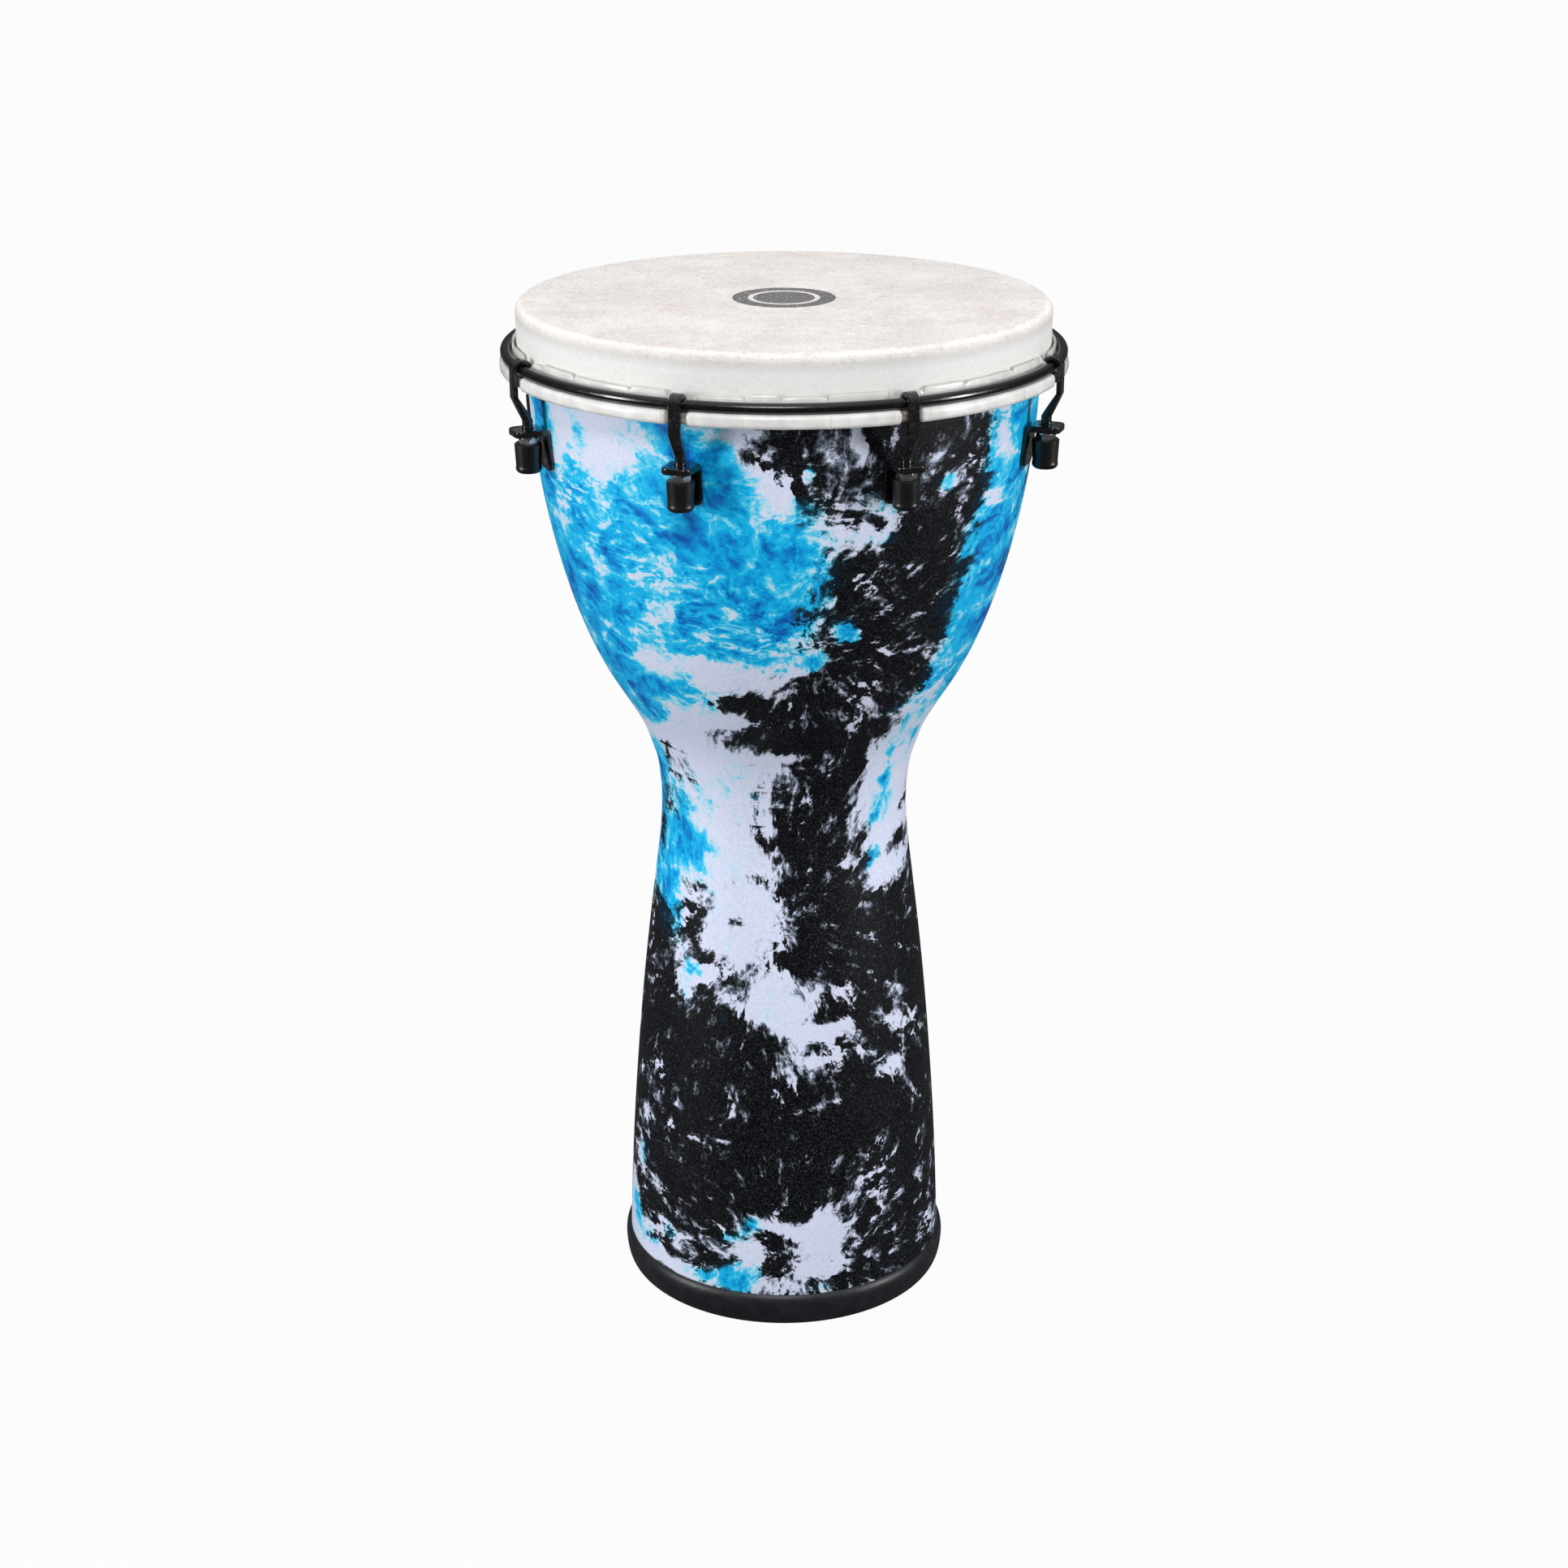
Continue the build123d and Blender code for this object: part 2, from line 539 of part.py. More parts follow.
# ---- lug bolts and their washers, seen only from inside the shell ------------------------
# the washers sit on the tangent of the shell's inner face, clear of its curve
washer_seat = WRAP_THICKNESS + SHELL_WALL + BOLT_SEAT_GAP
head_seat = washer_seat + BOLT_WASHER_THICKNESS
shank_length = head_seat + LUG_LEG_THICKNESS - FIT_GAP

with BuildPart() as lug_bolts:
    with Locations(*bolt_planes(head_seat)):
        Cylinder(BOLT_RADIUS, shank_length, align=(Align.CENTER, Align.CENTER, Align.MIN))
    with Locations(*bolt_planes(head_seat + BOLT_HEAD_HEIGHT)):
        Cylinder(BOLT_HEAD_RADIUS, BOLT_HEAD_HEIGHT, align=(Align.CENTER, Align.CENTER, Align.MIN))
    for socket_plane in bolt_planes(head_seat + BOLT_HEAD_HEIGHT):
        with BuildSketch(socket_plane):
            RegularPolygon(BOLT_SOCKET_FLATS / 2, 6, major_radius=False)
    extrude(amount=BOLT_SOCKET_DEPTH, mode=Mode.SUBTRACT)
lug_bolts.part.label = "lug_bolts"

with BuildPart() as lug_bolt_washers:
    with Locations(*bolt_planes(head_seat)):
        Cylinder(
            BOLT_WASHER_RADIUS, BOLT_WASHER_THICKNESS, align=(Align.CENTER, Align.CENTER, Align.MIN)
        )
        Cylinder(BOLT_CLEARANCE_RADIUS, DRILL_LENGTH, mode=Mode.SUBTRACT)
lug_bolt_washers.part.label = "lug_bolt_washers"

# ---- write every piece -------------------------------------------------------------------
pieces = [
    shell.part,
    tie_dye_wrap.part,
    foot_ring.part,
    drumhead.part,
    flesh_hoop.part,
    hoop_cover.part,
    crown_ring.part,
    lug_bolts.part,
    lug_bolt_washers.part,
]
for lug_index in range(LUG_COUNT):
    pieces.append(make_lug(lug_index))
    pieces.append(make_hook(lug_index))
    pieces.append(make_nut(lug_index))
    pieces.append(make_nut_washer(lug_index))
    pieces.append(make_nut_cap(lug_index))

for piece in pieces:
    export_step(piece, f"parts/{piece.label}.step")
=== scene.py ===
"""Looks for the djembe: tie-dye shell, synthetic head, black hardware, plain pale studio."""
import math

import bmesh
import bpy
import numpy as np
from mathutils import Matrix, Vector, noise


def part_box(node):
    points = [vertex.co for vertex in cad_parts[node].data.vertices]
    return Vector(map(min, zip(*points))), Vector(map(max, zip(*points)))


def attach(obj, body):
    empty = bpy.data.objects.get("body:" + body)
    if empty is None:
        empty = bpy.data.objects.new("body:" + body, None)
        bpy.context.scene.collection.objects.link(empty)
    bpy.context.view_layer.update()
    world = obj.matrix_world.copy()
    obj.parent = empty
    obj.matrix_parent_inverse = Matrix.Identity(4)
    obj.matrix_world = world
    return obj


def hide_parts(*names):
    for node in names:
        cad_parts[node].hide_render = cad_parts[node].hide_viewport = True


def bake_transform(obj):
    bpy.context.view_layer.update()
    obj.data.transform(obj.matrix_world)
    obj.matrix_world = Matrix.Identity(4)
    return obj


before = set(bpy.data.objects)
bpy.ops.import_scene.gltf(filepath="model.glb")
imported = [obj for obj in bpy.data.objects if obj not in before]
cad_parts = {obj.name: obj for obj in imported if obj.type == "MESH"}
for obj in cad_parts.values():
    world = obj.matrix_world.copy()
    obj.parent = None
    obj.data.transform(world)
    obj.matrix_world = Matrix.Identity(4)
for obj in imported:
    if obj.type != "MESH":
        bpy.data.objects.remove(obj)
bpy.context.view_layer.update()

MM = 0.001
LUGS = 8
LUG_PITCH = 2 * math.pi / LUGS
FIRST_LUG = math.radians(22.5)   # azimuths here start at -Y and grow towards +X


# ------------------------------------------------------------------------------ node helpers
class Tree:
    """Short calls for building one material's nodes. A socket or a plain number goes anywhere."""

    def __init__(self, name):
        self.material = bpy.data.materials.new(name)
        self.material.use_nodes = True
        self.nodes = self.material.node_tree.nodes
        self.links = self.material.node_tree.links
        self.nodes.clear()
        self.shader = self.nodes.new("ShaderNodeBsdfPrincipled")
        output = self.nodes.new("ShaderNodeOutputMaterial")
        self.links.new(self.shader.outputs[0], output.inputs[0])
        self.place = self.nodes.new("ShaderNodeTexCoord").outputs["Object"]

    @classmethod
    def over(cls, node_tree):
        """The same short calls over a node tree that is already there."""
        tree = cls.__new__(cls)
        tree.nodes, tree.links = node_tree.nodes, node_tree.links
        return tree

    def feed(self, socket, value):
        if isinstance(value, bpy.types.NodeSocket):
            self.links.new(value, socket)
        else:
            socket.default_value = value

    def set(self, **values):
        for name, value in values.items():
            self.feed(self.shader.inputs[name.replace("_", " ")], value)

    def math(self, operation, first, second=0.0):
        node = self.nodes.new("ShaderNodeMath")
        node.operation = operation
        self.feed(node.inputs[0], first)
        self.feed(node.inputs[1], second)
        return node.outputs[0]

    def add(self, *terms):
        total = terms[0]
        for term in terms[1:]:
            total = self.math("ADD", total, term)
        return total

    def scale(self, value, factor):
        return self.math("MULTIPLY", value, factor)

    def vector_math(self, operation, first, second):
        node = self.nodes.new("ShaderNodeVectorMath")
        node.operation = operation
        self.feed(node.inputs[0], first)
        self.feed(node.inputs["Scale" if operation == "SCALE" else 1], second)
        return node.outputs[0]

    def step(self, value, low, high):
        """0 below low, 1 above high, smooth between."""
        node = self.nodes.new("ShaderNodeMapRange")
        node.interpolation_type = "SMOOTHSTEP"
        self.feed(node.inputs["Value"], value)
        node.inputs["From Min"].default_value = low
        node.inputs["From Max"].default_value = high
        return node.outputs[0]

    def noise(self, place, size, detail=4.0, roughness=0.5, distortion=0.0, output=0):
        """Noise whose features are about size metres wide, centred on 0.5."""
        node = self.nodes.new("ShaderNodeTexNoise")
        self.feed(node.inputs["Vector"], place)
        node.inputs["Scale"].default_value = 1 / size
        node.inputs["Detail"].default_value = detail
        node.inputs["Roughness"].default_value = roughness
        node.inputs["Distortion"].default_value = distortion
        return node.outputs[output]

    def swing(self, value, amount):
        """Noise, which mostly lies between 0.25 and 0.75, turned into +-amount round 0."""
        return self.scale(self.math("SUBTRACT", value, 0.5), 4 * amount)

    def mix(self, share, first, second, mode="MIX"):
        node = self.nodes.new("ShaderNodeMix")
        node.data_type = "RGBA"
        node.blend_type = mode
        self.feed(node.inputs["Factor"], share)
        self.feed(node.inputs["A"], colour(first))
        self.feed(node.inputs["B"], colour(second))
        return node.outputs["Result"]

    def ramp(self, value, stops):
        node = self.nodes.new("ShaderNodeValToRGB")
        self.feed(node.inputs[0], value)
        while len(node.color_ramp.elements) < len(stops):
            node.color_ramp.elements.new(0.5)
        for element, (place, shade) in zip(node.color_ramp.elements, stops):
            element.position = place
            element.color = colour(shade)
        return node.outputs[0]

    def attribute(self, name):
        node = self.nodes.new("ShaderNodeAttribute")
        node.attribute_name = name
        return node.outputs["Fac"]

    def vector_attribute(self, name):
        node = self.nodes.new("ShaderNodeAttribute")
        node.attribute_name = name
        return node.outputs["Vector"]

    def vector_length(self, vector):
        node = self.nodes.new("ShaderNodeVectorMath")
        node.operation = "LENGTH"
        self.feed(node.inputs[0], vector)
        return node.outputs["Value"]

    def join(self, x, y, z):
        node = self.nodes.new("ShaderNodeCombineXYZ")
        for socket, value in zip(node.inputs, (x, y, z)):
            self.feed(socket, value)
        return node.outputs[0]

    def split(self, vector):
        node = self.nodes.new("ShaderNodeSeparateXYZ")
        self.feed(node.inputs[0], vector)
        return node.outputs

    def blend(self, share, first, second):
        """Plain numbers mixed, 0 giving the first."""
        node = self.nodes.new("ShaderNodeMix")
        self.feed(node.inputs["Factor"], share)
        self.feed(node.inputs["A"], first)
        self.feed(node.inputs["B"], second)
        return node.outputs["Result"]

    def stretched(self, place, x, y, z):
        node = self.nodes.new("ShaderNodeMapping")
        self.feed(node.inputs["Vector"], place)
        node.inputs["Scale"].default_value = (x, y, z)
        return node.outputs[0]

    def bump(self, height, depth, strength):
        """Normal for a height of 0 to 1 that is depth metres deep."""
        node = self.nodes.new("ShaderNodeBump")
        self.feed(node.inputs["Height"], height)
        node.inputs["Distance"].default_value = depth
        node.inputs["Strength"].default_value = strength
        return node.outputs[0]


def colour(value):
    """A colour given as 0-255 screen values becomes a linear RGBA. Sockets pass through."""
    if not isinstance(value, tuple):
        return value
    linear = []
    for channel in value:
        share = channel / 255
        linear.append(share / 12.92 if share <= 0.04045 else ((share + 0.055) / 1.055) ** 2.4)
    return (*linear, 1.0)


# ---------------------------------------------------------------------------- mesh helpers
def new_mesh(name, points, faces):
    mesh = bpy.data.meshes.new(name)
    mesh.from_pydata([tuple(point) for point in points], [], faces)
    mesh.validate()
    form = bmesh.new()
    form.from_mesh(mesh)
    bmesh.ops.recalc_face_normals(form, faces=form.faces)
    form.to_mesh(mesh)
    form.free()
    mesh.shade_smooth()
    piece = bpy.data.objects.new(name, mesh)
    bpy.context.scene.collection.objects.link(piece)
    return piece


def wrapped(angle):
    """The same angle between minus and plus half a turn."""
    return (angle + math.pi) % (2 * math.pi) - math.pi


def even_azimuths(columns):
    return [2 * math.pi * column / columns for column in range(columns)]


def turned(name, outline, azimuths, shape=None):
    """Closed surface of revolution round Z. outline is a closed loop of (radius, height).

    shape, if given, moves a point: it takes radius, height and azimuth, and returns both anew.
    """
    points, faces = [], []
    rows, columns = len(outline), len(azimuths)
    for azimuth in azimuths:
        for radius, height in outline:
            if shape:
                radius, height = shape(radius, height, azimuth)
            points.append((radius * math.sin(azimuth), -radius * math.cos(azimuth), height))
    for column in range(columns):
        here, there = column * rows, (column + 1) % columns * rows
        for row in range(rows):
            after = (row + 1) % rows
            faces.append((here + row, there + row, there + after, here + after))
    return new_mesh(name, points, faces)


def arc_points(centre, radius, start, end, count):
    """Points on an arc in the (radius, height) plane, from start to end in degrees."""
    return [
        (
            centre[0] + radius * math.cos(math.radians(start + (end - start) * i / count)),
            centre[1] + radius * math.sin(math.radians(start + (end - start) * i / count)),
        )
        for i in range(count + 1)
    ]


PROFILE_RAYS = 48


def outer_radii(node, heights):
    """Radius of a turned CAD node's outer face at each height, from rays sent in at it."""
    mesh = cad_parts[node]
    radii = []
    for height in heights:
        reach = 0.0
        for azimuth in even_azimuths(PROFILE_RAYS):
            away = Vector((math.sin(azimuth), -math.cos(azimuth), 0))
            hit, place, _, _ = mesh.ray_cast(away + Vector((0, 0, height)), -away)
            if hit:
                reach = max(reach, math.hypot(place.x, place.y))
        radii.append(reach)
    padded = np.concatenate([[2 * radii[0] - radii[1]], radii, [2 * radii[-1] - radii[-2]]])
    return np.convolve(padded, [0.25, 0.5, 0.25], "valid")


# ------------------------------------------------------------------------- tie-dye print
# Each blot: azimuth in degrees, height, half width and half height in mm, tilt in
# degrees, strength. Azimuth 0 is the front. A positive blot adds dye, a negative one holds it off.
BLUE_BLOTS = [
    (-80, 490, 60, 95, 0, 1.0), (-60, 455, 46, 52, 0, 1.0), (-34, 498, 58, 38, 0, 1.0),
    (-9, 503, 40, 38, 0, 1.0), (-26, 560, 24, 44, 0, 1.3), (-17, 582, 14, 16, 0, 1.0),
    (-64, 410, 58, 28, 0, 1.8), (-72, 575, 12, 40, 0, 0.9), (3, 492, 20, 26, 0, 0.9),
    (-22, 460, 34, 22, 0, 1.0), (-52, 535, 40, 32, 0, 0.6), (-51, 568, 5, 5, 0, 0.5),
    (-39, 570, 6, 12, 20, 0.6), (15, 462, 9, 10, 0, 1.5), (4, 443, 9, 6, 0, 1.3),
    (2.5, 556, 4, 5, 0, 1.0), (19, 535, 20, 14, 0, 0.9), (20, 516, 12, 6, 10, 0.9),
    (36, 545, 8, 7, 0, 0.7), (47, 478, 18, 52, 0, 0.9), (49, 565, 10, 32, 0, 0.9),
    (-9, 529, 20, 14, 0, 0.9), (-14, 552, 10, 20, 0, 0.8), (-34, 415, 16, 10, 0, 0.9),
    (-10, 424, 14, 6, 0, 0.6), (54, 490, 32, 62, 0, 1.0), (66, 505, 34, 85, 0, 1.1),
    (80, 520, 40, 75, 0, 1.1), (58, 412, 34, 18, 0, 0.9), (60, 582, 20, 16, 0, 0.8),
    (47, 425, 9, 10, 0, 0.9), (82, 425, 30, 36, 0, 1.2), (37, 402, 14, 3, 0, 0.8),
    (-12, 470, 30, 20, 0, 0.8), (-10, 440, 20, 10, 0, 0.7), (-29, 401, 14, 5, 0, 1.0),
    (-66, 272, 26, 34, 0, 1.6), (-54, 306, 18, 12, -10, 1.4), (-74, 345, 18, 14, 0, 0.8),
    (-41, 228, 8, 7, -20, 1.2), (-45, 208, 7, 10, 15, 1.2), (-27, 204, 9, 4, 0, 0.8),
    (-18, 345, 26, 6, 0, 0.4), (50, 352, 6, 17, 15, 1.3), (44, 325, 8, 8, 35, 1.1),
    (39, 298, 15, 5, 25, 1.1), (38, 362, 5, 3, 0, 1.0), (57, 364, 9, 5, 15, 1.0),
    (-20, 31, 14, 9, 0, 1.3), (-22, 55, 12, 6, 20, 1.2), (-14, 67, 6, 6, 20, 1.0),
    (-36, 29, 12, 6, 0, 0.9), (-49, 52, 10, 10, 0, 0.9), (-72, 42, 14, 12, 0, 1.1),
    (-68, 86, 9, 18, 0, 0.8), (-56, 66, 7, 8, 0, 0.7), (-60, 36, 10, 6, 0, 0.9),
    (11, 26, 9, 3, 0, 0.9), (-57, 146, 12, 5, 0, 0.7), (-60, 116, 10, 12, 0, 0.6),
    (-1, 78, 9, 3, 0, 0.6), (-16, 188, 4, 2, 0, 0.7),
    # cloth left white in the blue
    (-46, 566, 15, 16, 0, -0.75), (-58, 562, 10, 12, 0, -0.5), (-62, 532, 12, 16, 0, -0.3),
    (-8, 572, 9, 14, -30, -1.3), (-3, 546, 7, 5, -30, -0.7), (-35, 497, 26, 3, 3, -0.8),
    (-31, 486, 22, 3, 3, -1.0), (-53, 488, 26, 4, -10, -0.6), (-31, 466, 9, 10, 20, -1.2),
    (-38, 461, 8, 4, 15, -0.7), (-12, 487, 3, 8, 12, -1.3), (-43, 432, 13, 8, 10, -1.1),
    (-20, 434, 22, 9, 8, -1.2), (-7, 423, 15, 8, -15, -0.9), (-38, 402, 16, 9, 0, -1.2),
    (-22, 398, 20, 10, 0, -1.2), (-30, 378, 50, 11, 0, -1.5), (60, 428, 12, 5, 10, -0.8),
    (54, 528, 20, 5, -10, -1.2), (56, 556, 9, 16, 12, -0.8), (66, 455, 8, 8, 0, -0.6),
    (56, 404, 10, 6, 0, -0.8), (-62, 512, 20, 4, 0, -0.6), (26, 543, 5, 14, -8, -0.4),
]
BLACK_BLOTS = [
    (-68, 590, 8, 12, 0, 1.2), (2, 572, 22, 16, 0, 1.4), (7, 558, 18, 14, 0, 1.2),
    (3, 588, 24, 8, 0, 1.1), (19, 566, 9, 22, 0, 1.1), (14, 530, 24, 16, 0, 0.95),
    (22, 584, 16, 14, 0, 1.2), (30, 575, 24, 24, 0, 1.4), (30, 550, 16, 18, 0, 1.2),
    (44, 577, 14, 30, 10, 1.3), (43, 545, 14, 20, 0, 1.1), (38, 517, 20, 18, 0, 1.3),
    (30, 500, 26, 30, 0, 1.3), (24, 475, 38, 30, 0, 1.5), (11, 497, 8, 8, 0, 0.8),
    (38, 455, 14, 24, 0, 1.2), (12, 436, 28, 17, 0, 1.4), (34, 425, 17, 20, 0, 1.2),
    (4, 411, 32, 11, 2, 1.3), (-14, 411, 20, 6, 4, 1.1), (-8, 386, 30, 11, -3, 1.3),
    (14, 391, 30, 14, 0, 1.3), (-54, 358, 20, 8, -5, 1.7), (-60, 352, 14, 8, 0, 1.3),
    (26, 375, 13, 15, 0, 1.1), (32, 391, 9, 8, 0, 0.9), (14, 352, 24, 24, 0, 1.3),
    (12, 310, 21, 28, 0, 1.4), (20, 275, 22, 30, 0, 1.4), (27, 240, 34, 22, 0, 1.4),
    (-4, 350, 14, 9, -14, 0.9), (-10, 330, 12, 5, -14, 0.7), (-2, 314, 12, 6, -10, 0.9),
    (2, 285, 9, 6, -8, 0.8), (1, 240, 10, 5, -20, 1.0), (-15, 232, 7, 3, 0, 0.8),
    (47, 247, 36, 17, 0, 1.4), (66, 235, 38, 32, 0, 1.4), (86, 240, 30, 44, 0, 1.4),
    (66, 300, 15, 6, 0, 0.9), (76, 322, 14, 5, 0, 0.9), (46, 210, 44, 12, 0, 1.0),
    (64, 204, 50, 20, 0, 1.1), (32, 184, 46, 18, 0, 0.8), (-30, 208, 12, 5, 0, 0.7),
    (-16, 328, 10, 5, 0, 0.7), (-14, 291, 5, 3, 0, 0.7), (-22, 262, 6, 4, 0, 0.5),
    (-28, 285, 4, 3, 0, 0.5), (-3, 208, 5, 4, 0, 0.8), (5, 200, 6, 3, 20, 0.8),
    (13, 207, 6, 6, 0, 0.8), (-24, 226, 6, 5, 0, 0.9), (-46, 268, 12, 14, 20, 0.9),
    (-36, 238, 13, 4, 0, 0.9), (-43, 250, 9, 8, 0, 0.8), (-70, 322, 14, 11, -10, 1.0),
    (-82, 300, 12, 12, 0, 0.8), (-38, 216, 6, 7, 0, 0.8), (0, 124, 900, 44, 0, 1.5),
    (-58, 188, 50, 34, 0, 1.3), (-76, 225, 28, 34, 0, 1.3), (-27, 180, 30, 22, 0, 1.3),
    (-46, 65, 58, 26, 0, 1.2), (58, 60, 75, 40, 0, 1.3), (-8, 57, 8, 7, 0, 1.3),
    (2, 76, 8, 5, 0, 1.1), (-7, 38, 10, 9, 0, 1.1), (12, 98, 40, 12, 0, 1.2),
    (-17, 92, 30, 16, 0, 1.2), (22, 28, 14, 6, 0, 0.9), (-36, 34, 16, 8, 0, 0.8),
    (-50, 38, 8, 6, 0, 0.8), (-66, 60, 12, 12, 0, 1.2), (-34, 44, 8, 5, -20, 0.8),
    (-58, 62, 7, 5, 0, 0.8), (-62, 32, 14, 6, 0, 0.7), (8, 30, 8, 4, 0, 0.7),
    (-2, 15, 34, 6, 0, 0.9), (-40, 20, 26, 5, 0, 0.6), (35, 40, 24, 16, 0, 0.9),
    (14, 41, 12, 3, -15, 0.6),
    # kept clear of black
    (15, 462, 6, 7, 0, -2.4), (3.5, 443, 12, 6, 8, -2.2), (2.5, 555, 4, 5, 0, -1.3),
    (14, 576, 2.5, 12, 0, -1.3), (20, 535, 14, 6, 6, -0.6), (17, 519, 14, 5, 10, -0.9),
    (35, 544, 7, 6, -10, -1.6), (41, 572, 3, 12, 12, -1.0), (38, 523, 4, 6, 0, -0.7),
    (33, 444, 13, 4, 6, -1.3), (14, 441, 16, 2, -20, -0.4), (23, 412, 5, 18, 10, -0.4),
    (-23, 399, 16, 6, -3, -1.2), (2, 405, 16, 2, -8, -0.5), (20, 393, 12, 4, 25, -0.7),
    (-8, 370, 22, 2.5, 4, -0.9), (14, 338, 9, 3, -20, -0.4), (22, 300, 12, 4, 8, -1.1),
    (20, 291, 8, 2, 20, -0.7), (-6, 207, 16, 9, 0, -1.2), (5, 195, 18, 8, -5, -0.9),
    (8, 174, 7, 7, 0, -0.8), (21, 197, 14, 6, 0, -1.0), (30, 179, 24, 4, 5, -0.5),
    (44, 163, 26, 3, 10, -0.35), (50, 190, 16, 4, 0, -0.3), (66, 186, 18, 4, 10, -0.7),
    (80, 172, 18, 3, 0, -0.5), (50, 240, 6, 6, 0, -0.6), (-56, 154, 12, 4, 5, -1.0),
    (-47, 140, 14, 5, -12, -1.0), (-36, 121, 18, 3, 10, -1.2), (-24, 124, 14, 2, -12, -1.0),
    (-19, 110, 10, 3, 15, -1.1), (-26, 114, 8, 2, -30, -0.8), (-64, 120, 14, 8, 0, -0.9),
    (5, 145, 10, 2, 8, -1.0), (15, 147, 7, 2, 0, -0.9), (0, 131, 5, 3, -20, -1.0),
    (42, 132, 5, 3, 0, -0.9), (-43, 219, 7, 10, 12, -0.8), (12, 62, 16, 15, 0, -1.4),
    (-8, 68, 18, 8, 0, -1.0), (-14, 48, 9, 14, 30, -0.7), (12, 38, 20, 6, 0, -0.8),
    (-52, 30, 50, 5, 0, -0.9), (-74, 48, 10, 10, 0, -0.9), (-70, 88, 10, 20, 0, -0.7),
    (24, 81, 12, 4, 8, -0.9), (36, 94, 18, 5, 20, -0.8), (33, 56, 12, 4, 20, -0.9),
    (44, 72, 18, 9, 25, -0.7), (62, 78, 5, 4, 0, -0.8), (66, 42, 16, 6, 20, -0.6),
    (-50, 56, 18, 8, 0, -0.7), (60, 110, 30, 6, 20, -0.5),
]
# Where the creases kept both dyes patchy.
BROKEN_BLOTS = [
    (-54, 528, 46, 26, 0, 1.0), (-38, 492, 48, 16, 0, 0.8), (-30, 462, 36, 16, 0, 0.7),
    (-8, 460, 26, 18, 0, 0.8), (-60, 440, 40, 14, 0, 0.6), (-46, 395, 26, 12, 0, 0.6),
    (-4, 545, 16, 22, 0, 0.8), (-20, 575, 18, 12, 0, 0.5), (14, 528, 30, 16, 0, 1.0),
    (36, 545, 16, 18, 0, 0.8), (46, 560, 14, 26, 0, 0.5), (55, 530, 30, 18, 0, 0.8),
    (60, 575, 30, 14, 0, 0.7), (55, 408, 34, 16, 0, 0.8), (34, 440, 14, 16, 0, 0.7),
    (22, 400, 16, 14, 0, 0.6), (-20, 418, 34, 14, 0, 0.7), (5, 360, 34, 12, 0, 0.8),
    (-20, 335, 24, 14, 0, 0.7), (-48, 262, 14, 22, 0, 0.8), (-42, 215, 14, 16, 0, 0.8),
    (20, 188, 40, 20, 0, 0.8), (52, 172, 40, 20, 0, 0.6), (-52, 146, 26, 14, 0, 0.8),
    (-34, 120, 26, 12, 0, 0.7), (-66, 100, 16, 40, 0, 1.0), (-55, 50, 30, 20, 0, 0.9),
    (-34, 45, 18, 16, 0, 0.8), (34, 90, 26, 20, 0, 0.7), (36, 50, 26, 26, 0, 0.7),
    (10, 146, 22, 10, 0, 0.6), (60, 50, 20, 24, 0, 0.7), (72, 300, 20, 20, 0, 0.8),
]
PRINT_WARP = ((0.060, 4.0), (0.022, 4.0))   # (feature size in m, shift in mm)
WARP_SEED = 3
MOST_BLUE = 1.3
MOST_BLACK = 1.0
MOST_BROKEN = 1.0

# The side that the photograph doesn't show has random blots, one seed for each list.
BACK_BLOTS = 38
VISIBLE_EDGE = 95     # degrees from the front, past which the blots are random
BACK_HEIGHTS = (20, 600)
BACK_HALF_WIDTHS = (16, 48)
BACK_FLATNESS = (0.4, 0.9)     # half height as a share of half width
BACK_TILTS = (-30, 30)
BACK_STRENGTHS = (0.8, 1.3)
BLUE_SEED, BLACK_SEED, BROKEN_SEED = 4, 9, 6


def back_blots(seed):
    """Blots of one dye for the side that the front list doesn't reach."""
    draw = np.random.default_rng(seed)
    blots = []
    for _ in range(BACK_BLOTS):
        azimuth = draw.uniform(VISIBLE_EDGE, 360 - VISIBLE_EDGE)
        height = draw.uniform(*BACK_HEIGHTS)
        half_width = draw.uniform(*BACK_HALF_WIDTHS)
        half_height = half_width * draw.uniform(*BACK_FLATNESS)
        tilt = draw.uniform(*BACK_TILTS)
        strength = draw.uniform(*BACK_STRENGTHS)
        blots.append((azimuth, height, half_width, half_height, tilt, strength))
    return blots


def dye(points, blots, shift, most):
    """How much of one dye each point takes, from 0 to most: bell-shaped blots, softly warped."""
    total = np.zeros(len(points))
    x, y, z = points.T
    radius = np.hypot(x, y) / MM
    azimuth = np.arctan2(x, -y)
    height = z / MM + shift[:, 2]
    sideways = shift[:, 0]
    for centre, level, half_width, half_height, tilt, strength in blots:
        turn = wrapped(azimuth - math.radians(centre))
        across, up = turn * radius + sideways, height - level
        cosine, sine = math.cos(math.radians(tilt)), math.sin(math.radians(tilt))
        u = (across * cosine + up * sine) / half_width
        v = (up * cosine - across * sine) / half_height
        total += strength * np.exp(-(u * u + v * v))
    return np.clip(total, 0, most)


def print_warp(points):
    """Soft random shift of the print at each point, in mm."""
    noise.seed_set(WARP_SEED)     # without it, noise_vector differs from run to run
    shift = np.zeros((len(points), 3))
    for size, amount in PRINT_WARP:
        for i, point in enumerate(points):
            shift[i] += np.array(noise.noise_vector(Vector(point) / size)) * amount
    return shift


def add_attribute(piece, name, values):
    layer = piece.data.attributes.new(name, "FLOAT", "POINT")
    layer.data.foreach_set("value", np.asarray(values, dtype=np.float32))


# ------------------------------------------------------------------------------ materials
# In these, a noise's first number is its feature size in metres, and its others are detail,
# roughness and distortion. A step's two numbers are where it starts and ends. Colours are 0-255.

